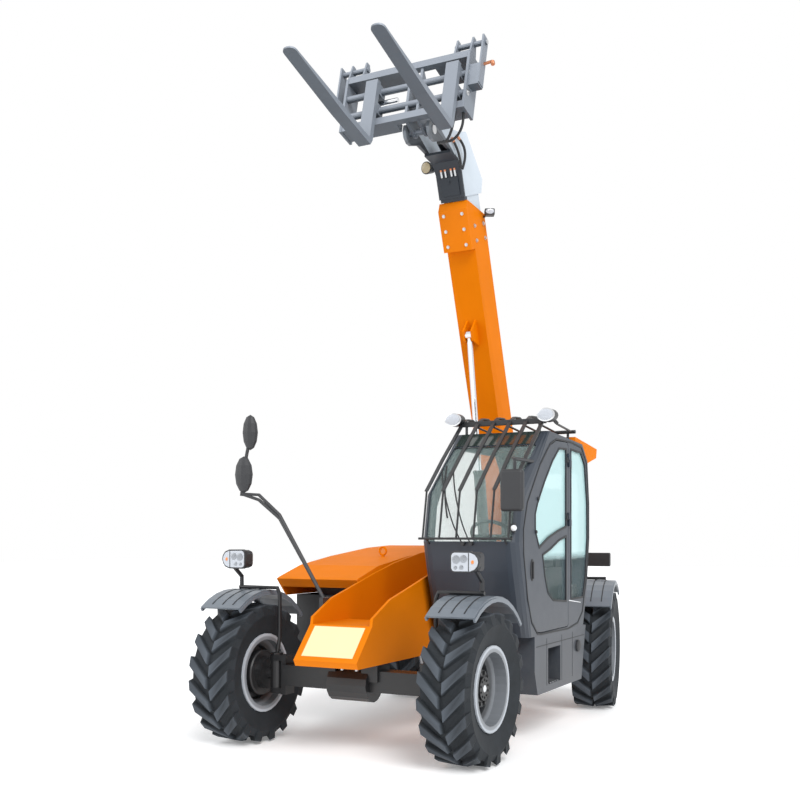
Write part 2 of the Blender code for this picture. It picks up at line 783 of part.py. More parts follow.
def tyre(name, frame, hand):
    """Tyre whose chevron lugs are part of one grid that leans with the lugs."""
    columns = LUG_PITCHES * len(LUG_COLUMN_SHARES)
    slant = LUG_SLANT_SHARE * 2 * math.pi / LUG_PITCHES / (TYRE_WIDTH / 2)
    verts = []
    for column in range(columns):
        pitch, step = divmod(column, len(LUG_COLUMN_SHARES))
        angle = 2 * math.pi * (pitch + LUG_COLUMN_SHARES[step]) / LUG_PITCHES
        outer = tyre_rows(step >= 2)
        inner = tyre_rows(step < 2)
        ring = [(-u, r) for u, r in reversed(inner)]
        ring.append((0.0, TYRE_RADIUS - LUG_HEIGHT))
        ring.extend(outer)
        for u, r in ring:
            lean = angle + hand * slant * min(abs(u), TYRE_WIDTH / 2)
            verts.append((u, r * math.sin(lean), r * math.cos(lean)))
    rows = len(verts) // columns
    faces = []
    for column in range(columns):
        for row in range(rows):
            after = (column + 1) % columns
            below = (row + 1) % rows
            faces.append((column * rows + row, after * rows + row,
                          after * rows + below, column * rows + below))
    mesh = bpy.data.meshes.new(name)
    mesh.from_pydata(verts, [], faces)
    shape = bmesh.new()
    shape.from_mesh(mesh)
    bmesh.ops.recalc_face_normals(shape, faces=shape.faces)
    bpy.data.meshes.remove(mesh)
    centre = frame @ Matrix.Translation((WHEEL_REACH, 0, 0))
    return from_bmesh(name, shape, centre)


def rim(name, frame):
    """Dished wheel: barrel with a flange at each side and a disc inside."""
    seat = RIM_SEAT_RADIUS
    flange = RIM_FLANGE_OFFSET
    lip = flange - RIM_FLANGE_THICK
    inner = seat - RIM_WALL
    well = seat - RIM_WELL_DROP
    disc_out = RIM_DISC_OFFSET + RIM_DISC_THICK
    bore = HUB_RADIUS / math.cos(math.pi / RIM_STEPS) + SEAT_GAP
    profile = [
        (RIM_FLANGE_RADIUS, flange), (RIM_FLANGE_RADIUS, lip), (seat, lip),
        (seat, BEAD_OFFSET / 2), (well, BEAD_OFFSET / 4), (well, -BEAD_OFFSET / 2),
        (seat, -BEAD_OFFSET * 3 / 4), (seat, -lip), (RIM_FLANGE_RADIUS, -lip),
        (RIM_FLANGE_RADIUS, -flange), (inner, -flange), (inner, -BEAD_OFFSET * 3 / 4),
        (well - RIM_WALL, -BEAD_OFFSET / 2), (well - RIM_WALL, RIM_DISC_OFFSET),
        (bore, RIM_DISC_OFFSET), (bore, disc_out),
        (well - RIM_WALL, disc_out), (well - RIM_WALL, BEAD_OFFSET / 4),
        (inner, BEAD_OFFSET / 2), (inner, flange),
    ]
    centre = outward(frame @ Matrix.Translation((WHEEL_REACH, 0, 0)))
    return turned(name, profile, RIM_STEPS, centre)


def hub(name, frame):
    """Planetary hub end, which carries the disc and shows inside the rim."""
    profile = [
        (0.0, HUB_NOSE), (HUB_NOSE_RADIUS, HUB_NOSE), (HUB_NOSE_RADIUS, HUB_OUTER),
        (HUB_RADIUS - HUB_NOSE_RADIUS / 4, HUB_OUTER), (HUB_RADIUS, HUB_OUTER / 2),
        (HUB_RADIUS, HUB_INNER), (0.0, HUB_INNER),
    ]
    centre = outward(frame @ Matrix.Translation((WHEEL_REACH, 0, 0)))
    mesh = bpy.data.meshes.new(name)
    edges = [(i, i + 1) for i in range(len(profile) - 1)]
    mesh.from_pydata([(r, 0.0, h) for r, h in profile], edges, [])
    piece = bpy.data.objects.new(name, mesh)
    piece.matrix_world = centre
    CUTTERS.objects.link(piece)
    screw = piece.modifiers.new("turn", 'SCREW')
    screw.steps = HUB_STEPS
    screw.render_steps = HUB_STEPS
    screw.use_merge_vertices = True
    screw.merge_threshold = WELD
    return as_mesh(piece)


def knuckle(name, frame):
    """Steering knuckle with its kingpin, wheel carrier and the fender's tube bracket."""
    def at(x, y, z):
        return frame @ Vector((x, y, z))

    half = YOKE_GAP_HALF - PIN_GAP
    top = YOKE_GAP_HALF + YOKE_ARM_THICK + PIN_GAP
    carrier_end = WHEEL_REACH + HUB_INNER - PIN_GAP
    body = rod(name, at(0, 0, -half), at(0, 0, half), KNUCKLE_RADIUS, 16)
    arm = rod(name + "_arm", at(0, 0, 0), at(CARRIER_INNER + OVERRUN / 2, 0, 0),
              KNUCKLE_RADIUS * KNUCKLE_ARM_SHARE, 12)
    carrier = rod(name + "_carrier", at(CARRIER_INNER, 0, 0), at(carrier_end, 0, 0),
                  CARRIER_RADIUS, 20)
    pin = rod(name + "_pin", at(0, 0, 0), at(0, 0, top + CAP_THICK / 2), KINGPIN_RADIUS, 12)
    cap = rod(name + "_cap", at(0, 0, top), at(0, 0, top + CAP_THICK), CAP_RADIUS, 12)
    shelf = FENDER_RADIUS + FENDER_THICK + SEAT_GAP + BRACKET_TUBE
    post = tube(name + "_post", [
        at(0, 0, top + CAP_THICK / 2), at(-BRACKET_LEAN, 0, top + BRACKET_REACH),
        at(-BRACKET_LEAN, 0, shelf - BRACKET_RISE), at(0, 0, shelf),
        at(WHEEL_REACH + FENDER_WIDTH * BRACKET_SPAN_SHARE, 0, shelf)], BRACKET_TUBE, 2)
    return joined(body, (arm, carrier, pin, cap, post))


def fender(name, frame, long_side):
    """Curved fender over the tyre with a rolled lip along both sides."""
    def section(radius, thick, past):
        top = math.pi / 2
        low, high = top - FENDER_LONG_END - past, top + FENDER_SHORT_END + past
        return (arc((0, 0), radius + thick, low, high, FENDER_STEPS)
                + arc((0, 0), radius, high, low, FENDER_STEPS))

    mid = FENDER_WIDTH / 2
    inset = FENDER_THICK / 2
    sheet = slab(name, section(FENDER_RADIUS, FENDER_THICK, 0), inset - mid, mid - inset)
    lips = [slab(f"{name}_lip_{i}", section(FENDER_RADIUS - FENDER_RIM_DROP,
                                            FENDER_THICK + FENDER_RIM_DROP / 2,
                                            FENDER_LIP_PAST), x, x + FENDER_THICK)
            for i, x in enumerate((-mid, mid - FENDER_THICK))]
    place = frame @ Matrix.Translation((WHEEL_REACH, 0, 0))
    for piece in (sheet, *lips):
        flip = Matrix.Rotation(math.pi if long_side < 0 else 0.0, 4, 'Z')
        piece.matrix_world = place @ flip @ piece.matrix_world
    return joined(sheet, lips)


def build_corners():
    for name, hand, back, turn in CORNERS:
        frame = corner_frame(hand, back, turn)
        front = back == 0.0
        steer = pivot(f"{name}_kingpin", frame.translation, turn)
        spin = pivot(f"{name}_stub", frame @ Vector((WHEEL_REACH, 0, 0)), turn)
        wheel = (smooth(keep(tyre(f"{name}_tyre", frame, hand), RUBBER)),
                 smooth(keep(rim(f"{name}_rim", frame), SILVER)),
                 smooth(keep(hub(f"{name}_hub", frame), BLACK)))
        arm = smooth(keep(knuckle(f"{name}_knuckle", frame), BLACK))
        long_side = hand if front else -hand
        cover = smooth(keep(fender(f"{name}_fender", frame, long_side), SLATE))
        carry(spin, *wheel)
        carry(steer, arm, cover, spin)
        if front:
            carry(steer, *head_lamp(name, frame, hand))


def head_lamp(name, frame, hand):
    """Lamp pod on a post above the fender bracket."""
    def at(x, y, z):
        return frame @ Vector((x, hand * y, z))

    shelf = FENDER_RADIUS + FENDER_THICK + SEAT_GAP + 2 * BRACKET_TUBE
    low = LAMP_BOTTOM - TYRE_RADIUS
    x = WHEEL_REACH - LAMP_SHIFT
    foot = WHEEL_REACH + FENDER_WIDTH * BRACKET_SPAN_SHARE - LAMP_POST
    post = tube(f"{name}_lamp", [
        at(foot, 0, shelf), at(foot, 0, (shelf + low) / 2),
        at(foot, -LAMP_FORWARD, low + LAMP_POST)], LAMP_POST, 1)
    pod = soft_box(f"{name}_lamp_pod", (-LAMP_WIDTH / 2, -LAMP_DEPTH / 2, 0),
                   (LAMP_WIDTH / 2, LAMP_DEPTH / 2, LAMP_HEIGHT), LAMP_EDGE)
    centre = at(x, -LAMP_FORWARD, low)
    pod.matrix_world = Matrix.Translation(centre) @ pod.matrix_world
    return [smooth(keep(joined(post, (pod,)), TRIM))]


def axle(name, back, turn):
    """Axle beam with its differential, frame saddles and the yokes for the kingpins."""
    y, z = aft(back), TYRE_RADIUS
    reach = KINGPIN_X
    deep, high = AXLE_BEAM_HALF_DEPTH, AXLE_BEAM_HALF_HEIGHT
    inner = reach - YOKE_RADIUS * YOKE_SET_SHARE
    beam = box(name, (-inner, y - deep, z - high), (inner, y + deep, z + high))
    case = rod(name + "_case", (-DIFF_HALF_LENGTH, y, z - DIFF_DROP),
               (DIFF_HALF_LENGTH, y, z - DIFF_DROP), DIFF_RADIUS, 16)
    adds = [case]
    cuts = []
    for hand in (-1, 1):
        x = hand * SADDLE_X
        adds.append(box(f"{name}_saddle_{hand}",
                        (x - SADDLE_HALF, y - deep - FRAME_WALL, z),
                        (x + SADDLE_HALF, y + deep + FRAME_WALL, FRAME_BOTTOM - SEAT_GAP)))
        tall = YOKE_GAP_HALF + YOKE_ARM_THICK
        web = YOKE_RADIUS + PLATE_LAP
        low, top = sorted((hand * (inner - OVERRUN / 2), hand * (inner + YOKE_RADIUS / 4)))
        adds.append(box(f"{name}_web_{hand}", (low, y - web, z - tall - PLATE_LAP),
                        (top, y + web, z + tall + PLATE_LAP)))
        start = math.pi / 2 if hand < 0 else -math.pi / 2
        eye = arc((hand * reach, y), YOKE_RADIUS, start, start + math.pi, YOKE_STEPS)
        outline = [(hand * inner, eye[0][1]), *eye, (hand * inner, eye[-1][1])]
        adds.append(slab(f"{name}_upper_{hand}", outline, z + YOKE_GAP_HALF, z + tall, 'Z'))
        adds.append(slab(f"{name}_lower_{hand}", outline, z - tall, z - YOKE_GAP_HALF, 'Z'))
        cuts.append(rod(f"{name}_bore_{hand}", (hand * reach, y, z),
                        (hand * reach, y, z + tall + OVERRUN),
                        bore_radius(KINGPIN_RADIUS, 12), 12))
    return smooth(keep(joined(beam, adds, cuts), BLACK))


def nose_corners():
    """Places of the sloped nose, from its bottom edge to the channel's floor."""
    return [(NOSE_FRONT + NOSE_BEVEL[0], FRAME_BOTTOM),
            (NOSE_FRONT, FRAME_BOTTOM + NOSE_BEVEL[1]), (NOSE_BACK, CHANNEL_FLOOR)]


def chassis():
    """Welded frame: two side plates, nose, channel floor, boom towers and tail plate."""
    top = spread(FRAME_TOP_SHARES, (NOSE_FRONT, FRAME_BOTTOM), (FRAME_TAIL, FRAME_TOP))
    outline = placed(nose_corners() + top + [(FRAME_TAIL, TAIL_TOP), (FRAME_TAIL, FRAME_BOTTOM)])
    left = slab("chassis_frame", outline, FRAME_HALF - FRAME_WALL, FRAME_HALF)
    right = slab("frame_right", outline, -FRAME_HALF, -FRAME_HALF + FRAME_WALL)
    across = FRAME_HALF - FRAME_WALL / 2
    nose = slab("frame_nose", placed(nose_corners() + [
        (CHANNEL_BACK, CHANNEL_FLOOR), (CHANNEL_FOOT, FRAME_BOTTOM + FLOOR_THICK),
        (FRAME_TAIL, FRAME_BOTTOM + FLOOR_THICK), (FRAME_TAIL, FRAME_BOTTOM)]), -across, across)
    tail = box("frame_tail", (-across, aft(FRAME_TAIL - FRAME_WALL), FRAME_BOTTOM),
               (across, aft(FRAME_TAIL), TAIL_TOP))
    towers = []
    cheeks = []
    for hand in (-1, 1):
        low, high = sorted((hand * TOWER_INNER, hand * (TOWER_INNER + TOWER_WALL)))
        towers.append(slab(f"frame_tower_{hand}", placed((
            (PIVOT_BACK - TOWER_REACH, FRAME_BOTTOM), (PIVOT_BACK - TOWER_REACH, TOWER_SHOULDER),
            (PIVOT_BACK - TOWER_NECK, PIVOT_HEIGHT + TOWER_RISE),
            (PIVOT_BACK + TOWER_NECK, PIVOT_HEIGHT + TOWER_RISE),
            (PIVOT_BACK + TOWER_REACH, TOWER_SHOULDER), (PIVOT_BACK + TOWER_REACH, FRAME_BOTTOM))),
            low, high))
        low, high = sorted((hand * (TOWER_INNER + TOWER_WALL / 2), hand * across))
        towers.append(box(f"frame_web_{hand}", (low, aft(PIVOT_BACK - TOWER_WEB), TOWER_WEB_LOW),
                          (high, aft(PIVOT_BACK), TOWER_SHOULDER)))
        low, high = sorted((hand * (LIFT_EYE_HALF + PIN_GAP), hand * (LIFT_EYE_HALF + LUG_PLATE)))
        cheek_top = LIFT_BASE_HEIGHT + LUG_EDGE
        cheeks.append(slab(f"frame_cheek_{hand}", placed((
            (LIFT_BASE_BACK - CHEEK_FOOT, FRAME_BOTTOM), (LIFT_BASE_BACK - CHEEK_EDGE, cheek_top),
            (LIFT_BASE_BACK + CHEEK_EDGE, cheek_top), (LIFT_BASE_BACK + CHEEK_FOOT, FRAME_BOTTOM))),
            low, high))
    centre = (aft(PIVOT_BACK), PIVOT_HEIGHT)
    base = (aft(LIFT_BASE_BACK), LIFT_BASE_HEIGHT)
    reach = TOWER_INNER + TOWER_WALL + PIN_END
    boom_pin = rod("frame_boom_pin", (-reach, *centre), (reach, *centre), BOOM_PIN_RADIUS, 16)
    reach = LIFT_EYE_HALF + LUG_PLATE + PIN_END
    base_pin = rod("frame_lift_pin", (-reach, *base), (reach, *base), LIFT_PIN_RADIUS, 12)
    keep(joined(left, (right, nose, tail, *towers, *cheeks, boom_pin, base_pin)), ORANGE)


def tail_pieces():
    """Counterweight on the tail plate and the lamp beam across it."""
    face = FRAME_TAIL + SEAT_GAP
    edge, slope, low_bevel, top_bevel = COUNTERWEIGHT_BEVELS
    weight = slab("rear_counterweight", placed((
        (face, COUNTERWEIGHT_BOTTOM), (REAR_END - edge, COUNTERWEIGHT_BOTTOM),
        (REAR_END, COUNTERWEIGHT_BOTTOM + low_bevel), (REAR_END, COUNTERWEIGHT_TOP - top_bevel),
        (face + slope, COUNTERWEIGHT_TOP), (face, COUNTERWEIGHT_TOP))),
        -COUNTERWEIGHT_HALF, COUNTERWEIGHT_HALF)
    keep(weight, SLATE)
    beam = box("rear_light_beam", (-LIGHT_BEAM_HALF, aft(face), LIGHT_BEAM_LOW),
               (LIGHT_BEAM_HALF, aft(face + LIGHT_BEAM_THICK), LIGHT_BEAM_HIGH))
    lamps = []
    for hand, word in ((1, "left"), (-1, "right")):
        outer = LIGHT_BEAM_HALF - TAIL_LAMP_INSET
        low, high = sorted((hand * (outer - TAIL_LAMP_WIDTH), hand * outer))
        y = aft(face + LIGHT_BEAM_THICK / 2)
        lamps.append(box(f"tail_lamp_{word}", (low, y, LIGHT_BEAM_LOW + TAIL_LAMP_INSET),
                         (high, y + TAIL_LAMP_DEPTH, LIGHT_BEAM_HIGH - TAIL_LAMP_INSET)))
    keep(joined(beam, lamps), BLACK)


def boom_outline(points):
    return [side(boom_point(s, t)) for s, t in points]


def boom_strip(name, stations, rises, half):
    """Block along the boom between two stations and two rises."""
    (s0, s1), (t0, t1) = stations, rises
    return slab(name, boom_outline(((s0, t0), (s1, t0), (s1, t1), (s0, t1))), -half, half)


def boom_shell():
    """Outer boom with its collar, top cover, wear pads and the lift cylinder's lugs."""
    half = BOOM_HALF_WIDTH
    lip, rise = BOOM_LIP
    foot_low, foot_high = BOOM_FOOT_RISES
    shell = slab("boom_outer", boom_outline((
        (BOOM_FOOT, foot_low), (0.0, BOOM_UNDER), (COLLAR_START, BOOM_UNDER),
        (COLLAR_START, BOOM_UNDER - COLLAR_DROP), (BOOM_END_LOW - lip, BOOM_UNDER - COLLAR_DROP),
        (BOOM_END_LOW, BOOM_UNDER - rise), (BOOM_END_TOP, BOOM_TOP), (0.0, BOOM_TOP),
        (BOOM_FOOT, foot_high))), -half, half)
    cover = boom_strip("boom_cover", COVER_STATIONS,
                       (BOOM_TOP - BOOM_WALL / 2, BOOM_TOP + COVER_RISE), COVER_HALF)
    hollow = boom_strip("boom_hollow", (BOOM_HOLLOW_START, BOOM_END_LOW + OVERRUN),
                        (BOOM_UNDER + BOOM_WALL, BOOM_TOP - BOOM_WALL), half - BOOM_WALL)
    joined(shell, (cover,), (hollow,))
    pads = []
    for end, rises in ((BOOM_END_LOW, (BOOM_UNDER, INNER_UNDER - SEAT_GAP)),
                       (BOOM_END_TOP, (INNER_TOP + SEAT_GAP, BOOM_TOP))):
        stations = (end - PAD_SETBACK - PAD_LENGTH, end - PAD_SETBACK)
        pads.append(boom_strip(f"boom_pad_{len(pads)}", stations, rises, PAD_HALF))
    lugs = []
    eye_rise = BOOM_UNDER - LIFT_EYE_DROP
    root = BOOM_UNDER + BOOM_WALL / 2
    for hand in (-1, 1):
        low, high = sorted((hand * (LIFT_EYE_HALF + PIN_GAP),
                            hand * (LIFT_EYE_HALF + PIN_GAP + LUG_PLATE)))
        lugs.append(slab(f"boom_lug_{hand}", boom_outline((
            (LIFT_EYE_STATION - LUG_FOOT, root), (LIFT_EYE_STATION - LUG_EDGE, eye_rise - LUG_EDGE),
            (LIFT_EYE_STATION + LUG_EDGE, eye_rise - LUG_EDGE),
            (LIFT_EYE_STATION + LUG_FOOT, root))), low, high))
    pin_hole = rod("boom_pin_hole", boom_point(0, 0, -half - OVERRUN),
                   boom_point(0, 0, half + OVERRUN), bore_radius(BOOM_PIN_RADIUS, 16), 16)
    keep(joined(shell, (*pads, *lugs), (pin_hole,)), ORANGE)


def boom_head():
    """Inner boom with the two head plates that carry the fork carriage."""
    head_end = HEAD_START + HEAD_LAP
    rest = boom_strip("boom_inner", (INNER_START, head_end), (INNER_UNDER, INNER_TOP),
                      INNER_HALF_WIDTH)
    bore = boom_strip("inner_hollow", (INNER_START - OVERRUN, head_end + OVERRUN),
                      (INNER_UNDER + INNER_WALL, INNER_TOP - INNER_WALL),
                      INNER_HALF_WIDTH - INNER_WALL)
    joined(rest, (), (bore,))
    pin = neck_pin()
    boss = [(pin[0] + NECK_BOSS * math.cos(turn), pin[1] + NECK_BOSS * math.sin(turn))
            for turn in NECK_BOSS_TURNS]
    top = [(HEAD_START + share * HEAD_LENGTH, rise) for share, rise in HEAD_TOP_SHARES]
    head = [(HEAD_START, HEAD_UNDER), (HEAD_HEEL, HEAD_UNDER), HEAD_KNEE, HEAD_FRONT, *boss, *top]
    plates = []
    for hand in (-1, 1):
        low, high = sorted((hand * (HEAD_HALF_WIDTH - HEAD_PLATE), hand * HEAD_HALF_WIDTH))
        plates.append(slab(f"head_plate_{hand}", boom_outline(head), low, high))
    pin_hole = rod("neck_pin_hole", boom_point(*pin, -HEAD_HALF_WIDTH - OVERRUN),
                   boom_point(*pin, HEAD_HALF_WIDTH + OVERRUN),
                   bore_radius(NECK_PIN_RADIUS, 12), 12)
    keep(joined(rest, plates, (pin_hole,)), PALE)


def boom_neck():
    """Folded plate on the front edges of the head plates."""
    line = [(HEAD_START, HEAD_UNDER), (HEAD_HEEL, HEAD_UNDER), HEAD_KNEE, NECK_END]
    inner = HEAD_UNDER + HEAD_LAP
    loop = line + [(NECK_END[0], inner), (HEAD_START, inner)]
    fall = (Vector(NECK_END) - Vector(HEAD_KNEE)).normalized()
    faces = []
    for out in (SEAT_GAP, NECK_WEB):
        face = offset_outline(loop, out)[:len(line)]
        face[0] = (HEAD_START, HEAD_UNDER - out)
        face[-1] = tuple(Vector(NECK_END) + Vector((fall.y, -fall.x)) * out)
        faces.append(face)
    near, far = faces
    web = slab("boom_neck", boom_outline(near + far[::-1]), -HEAD_HALF_WIDTH, HEAD_HALF_WIDTH)
    keep(web, SLATE)


def neck_pin():
    """Station and rise of the pin that the fork carriage tilts on."""
    return boom_coordinates(fork_point(TILT_PIN_REACH, TILT_PIN_RISE))


def boom_coordinates(place):
    back = place.y - aft(PIVOT_BACK)
    up = place.z - PIVOT_HEIGHT
    return (-back * math.cos(BOOM_ANGLE) + up * math.sin(BOOM_ANGLE),
            back * math.sin(BOOM_ANGLE) + up * math.cos(BOOM_ANGLE))


def lift_cylinder():
    """Barrel on the chassis and rod on the boom, in line at rest."""
    base = Vector((0, aft(LIFT_BASE_BACK), LIFT_BASE_HEIGHT))
    eye = boom_point(LIFT_EYE_STATION, BOOM_UNDER - LIFT_EYE_DROP)
    along = (eye - base).normalized()
    across = Vector((LIFT_EYE_HALF, 0, 0))
    barrel = rod("lift_barrel", base + along * LIFT_NECK_LENGTH,
                 base + along * LIFT_BARREL_LENGTH, LIFT_BARREL_RADIUS, 16)
    neck = rod("lift_neck", base, base + along * (LIFT_NECK_LENGTH + LIFT_ROD_RADIUS),
               LIFT_ROD_RADIUS, 12)
    root = rod("lift_root", base - across, base + across, LIFT_EYE_RADIUS, 16)
    bore = rod("lift_bore", base + along * LIFT_BORE_START,
               base + along * (LIFT_BARREL_LENGTH + OVERRUN), LIFT_ROD_RADIUS + PIN_GAP, 16)
    hole = rod("lift_root_hole", base - across * 2, base + across * 2,
               bore_radius(LIFT_PIN_RADIUS, 12), 12)
    keep(smooth(joined(barrel, (root, neck), (bore, hole))), BLACK)
    shaft = rod("lift_rod", eye - along * LIFT_ROD_LENGTH, eye, LIFT_ROD_RADIUS, 16)
    head = rod("lift_head", eye - across, eye + across, LIFT_HEAD_RADIUS, 16)
    keep(smooth(joined(shaft, (head,))), CHROME)
    swing = pivot("lift_cylinder_base", base)
    carry(swing, bpy.data.objects["lift_barrel"], bpy.data.objects["lift_rod"])


def tilt_cylinder():
    """Cylinder inside the boom's head that tilts the fork carriage."""
    base = boom_point(*TILT_BASE)
    eye = fork_point(TILT_EYE_REACH, TILT_EYE_RISE)
    along = (eye - base).normalized()
    across = Vector((TILT_LUG_INNER - 2 * PIN_GAP, 0, 0))
    bar = Vector((HEAD_HALF_WIDTH - HEAD_PLATE - SEAT_GAP, 0, 0))
    barrel = rod("tilt_barrel", base - along * TILT_BARREL_RADIUS / 2,
                 base + along * TILT_BARREL_LENGTH, TILT_BARREL_RADIUS, 16)
    trunnion = rod("tilt_trunnion", base - bar, base + bar, TILT_TRUNNION_RADIUS, 12)
    bore = rod("tilt_bore", base + along * TILT_BORE_START,
               base + along * (TILT_BARREL_LENGTH + OVERRUN), TILT_ROD_RADIUS + PIN_GAP, 12)
    keep(smooth(joined(barrel, (trunnion,), (bore,))), BLACK)
    shaft = rod("tilt_rod", eye - along * TILT_ROD_LENGTH, eye, TILT_ROD_RADIUS, 12)
    head = rod("tilt_head", eye - across, eye + across, TILT_EYE_RADIUS, 12)
    keep(smooth(joined(shaft, (head,))), CHROME)


def fork_outline(points):
    return [side(fork_point(*point)) for point in points]


def fork_box(name, x, reach, rise):
    """Block in the carriage's own directions; each argument is a low and high pair."""
    return slab(name, fork_outline(((reach[0], rise[0]), (reach[1], rise[0]),
                                    (reach[1], rise[1]), (reach[0], rise[1]))), x[0], x[1])


def carriage_beams(wide):
    """Two deep beams, thinner in the middle, where the boom's head swings behind them."""
    back = BEAM_REACH - BEAM_DEPTH
    beams = [fork_box(name, wide, (back, BEAM_REACH), (rise, rise + BEAM_HEIGHT))
             for name, rise in (("carriage_frame", LOWER_BEAM_RISE),
                                ("carriage_upper", UPPER_BEAM_RISE))]
    notch = fork_box("carriage_notch", (-BEAM_NOTCH_HALF, BEAM_NOTCH_HALF),
                     (back - OVERRUN, BEAM_REACH - BEAM_NOTCH_DEPTH),
                     (LOWER_BEAM_RISE - OVERRUN, UPPER_BEAM_RISE + BEAM_HEIGHT + OVERRUN))
    return joined(beams[0], (beams[1],), (notch,))


def carriage_end(hand):
    """End plate with the two ears, their pin and the outer strap at one end."""
    edge = CARRIAGE_SHIFT + hand * CARRIAGE_HALF
    top = UPPER_BEAM_RISE + BEAM_HEIGHT
    ear_top = top + EAR_RISE
    front = BEAM_REACH - EAR_TRIM
    rear = front - LATCH_DEPTH
    middle = (front + rear) / 2
    pieces = [fork_box(f"carriage_end_{hand}", sorted((edge - hand * END_PLATE, edge)),
                       (BEAM_REACH - END_PLATE_DEPTH, BEAM_REACH + PLATE_LAP),
                       (LOWER_BEAM_RISE - PLATE_LAP, top - BEAM_HEIGHT / 4))]
    ear = fork_outline(((rear, top - BEAM_HEIGHT / 2), (front, top - BEAM_HEIGHT / 2),
                        (front, top + EAR_TRIM), (middle + EAR_PIN_RADIUS, ear_top),
                        (middle - EAR_PIN_RADIUS, ear_top), (rear, top + EAR_TRIM)))
    for i, inset in enumerate(EAR_INSETS):
        outer = edge - hand * inset
        pieces.append(slab(f"carriage_ear_{hand}_{i}", ear,
                           *sorted((outer - hand * EAR_PLATE, outer))))
    strap = edge + hand * LATCH_WIDTH
    pieces.append(fork_box(f"carriage_strap_{hand}", sorted((strap - hand * EAR_PLATE, strap)),
                           (middle - EAR_PIN_RADIUS * 2, middle + EAR_PIN_RADIUS * 2),
                           (LATCH_RISES[0] + EAR_TRIM, ear_top - EAR_TRIM)))
    pin_rise = top + EAR_RISE * EAR_PIN_SHARE
    ends = (edge - hand * (EAR_INSETS[1] + PIN_END + EAR_PLATE), strap + hand * PIN_END)
    pieces.append(rod(f"carriage_ear_pin_{hand}", fork_point(middle, pin_rise, min(ends)),
                      fork_point(middle, pin_rise, max(ends)), EAR_PIN_RADIUS, 12))
    if hand > 0:
        pieces.append(fork_box("carriage_latch", (edge - END_PLATE / 4, strap - PLATE_LAP),
                               (rear + PLATE_LAP, front - PLATE_LAP), LATCH_RISES))
    return pieces


def carriage_lug(hand):
    """Plate between the beams that hangs on the tilt pin and takes the cylinder's eye."""
    front = BEAM_REACH - EAR_TRIM
    pin = (TILT_PIN_REACH, TILT_PIN_RISE)
    eye = (TILT_EYE_REACH, TILT_EYE_RISE)
    round_end = arc(pin, TILT_LUG_EDGE, -math.pi / 3, -math.pi, 4)
    top_end = arc(eye, TILT_LUG_EDGE, math.pi, math.pi / 3, 3)
    outline = fork_outline([(front, LOWER_BEAM_RISE + PLATE_LAP), *round_end, *top_end,
                            (front, UPPER_BEAM_RISE + PLATE_LAP)])
    return slab(f"carriage_lug_{hand}", outline,
                *sorted((hand * TILT_LUG_INNER, hand * TILT_LUG_OUTER)))


def carriage():
    """Fork carriage: two beams, end plates, the tilt lugs, ears and the fork shafts."""
    wide = CARRIAGE_HALF - END_PLATE / 2
    span = (CARRIAGE_SHIFT - wide, CARRIAGE_SHIFT + wide)
    frame = carriage_beams(span)
    for hand in (-1, 1):
        for piece in (carriage_lug(hand), *carriage_end(hand)):
            joined(frame, (piece,))
    pin_end = HEAD_HALF_WIDTH - SEAT_GAP
    ends = [fork_point(TILT_PIN_REACH, TILT_PIN_RISE, x) for x in (-pin_end, pin_end)]
    rods = [rod("carriage_pin", *ends, NECK_PIN_RADIUS, 12)]
    for i, rise in enumerate(SHAFT_RISES):
        ends = [fork_point(SHAFT_REACH, rise, x) for x in span]
        rods.append(rod(f"carriage_shaft_{i}", *ends, SHAFT_RADIUS, 16))
    keep(joined(frame, rods), STEEL)


def forks():
    """Two forks, each a blade with a round tip, a shank and hooks on the shafts."""
    pieces = []
    half = FORK_WIDTH / 2
    for word, x in (("left", FORK_X), ("right", -FORK_X)):
        outline = fork_outline((
            (-FORK_THICK, SHANK_HEIGHT), (-FORK_THICK, 0.0),
            (-FORK_THICK * FORK_HEEL_SHARE, -FORK_THICK), (FORK_HEEL_REACH, -FORK_THICK),
            (FORK_LENGTH, -FORK_TIP_THICK), (FORK_LENGTH, 0.0), (0.0, 0.0),
            (0.0, SHANK_HEIGHT)))
        blank = slab(f"fork_{word}", outline, x - half, x + half)
        edge = FORK_LENGTH - FORK_TIP_RADIUS
        inner = half - FORK_TIP_RADIUS
        plan = [(x - half, -OVERRUN * 2), (x + half, -OVERRUN * 2)]
        plan += arc((x + inner, edge), FORK_TIP_RADIUS, 0.0, math.pi / 2, FORK_TIP_STEPS)
        plan += arc((x - inner, edge), FORK_TIP_RADIUS, math.pi / 2, math.pi, FORK_TIP_STEPS)
        shape = slab(f"fork_plan_{word}", plan, -OVERRUN * 2, SHANK_HEIGHT + OVERRUN, 'Z')
        shape.matrix_world = fork_matrix() @ shape.matrix_world
        overlap(blank, shape)
        hooks = []
        bores = []
        grip = SHAFT_RADIUS + HOOK_BACK / 2
        for i, rise in enumerate(SHAFT_RISES):
            hooks.append(fork_box(f"fork_hook_{word}_{i}", (x - half, x + half),
                                  (SHAFT_REACH - grip, -FORK_THICK / 2),
                                  (rise - grip, rise + grip)))
            ends = [fork_point(SHAFT_REACH, rise, x + e) for e in (-half * 2, half * 2)]
            bores.append(rod(f"fork_bore_{word}_{i}", *ends, SHAFT_RADIUS + PIN_GAP, 16))
        pieces.append(keep(joined(blank, hooks, bores), STEEL))
    return pieces


def fork_matrix():
    """Local X across the machine, Y along the blades and Z along the shanks."""
    origin = fork_point(0, 0)
    across = Vector((1, 0, 0))
    reach = fork_point(1, 0) - origin
    rise = fork_point(0, 1) - origin
    matrix = Matrix.Identity(4)
    for row in range(3):
        matrix[row] = (across[row], reach[row], rise[row], origin[row])
    return matrix


def placed(points):
    return [(aft(back), z) for back, z in points]


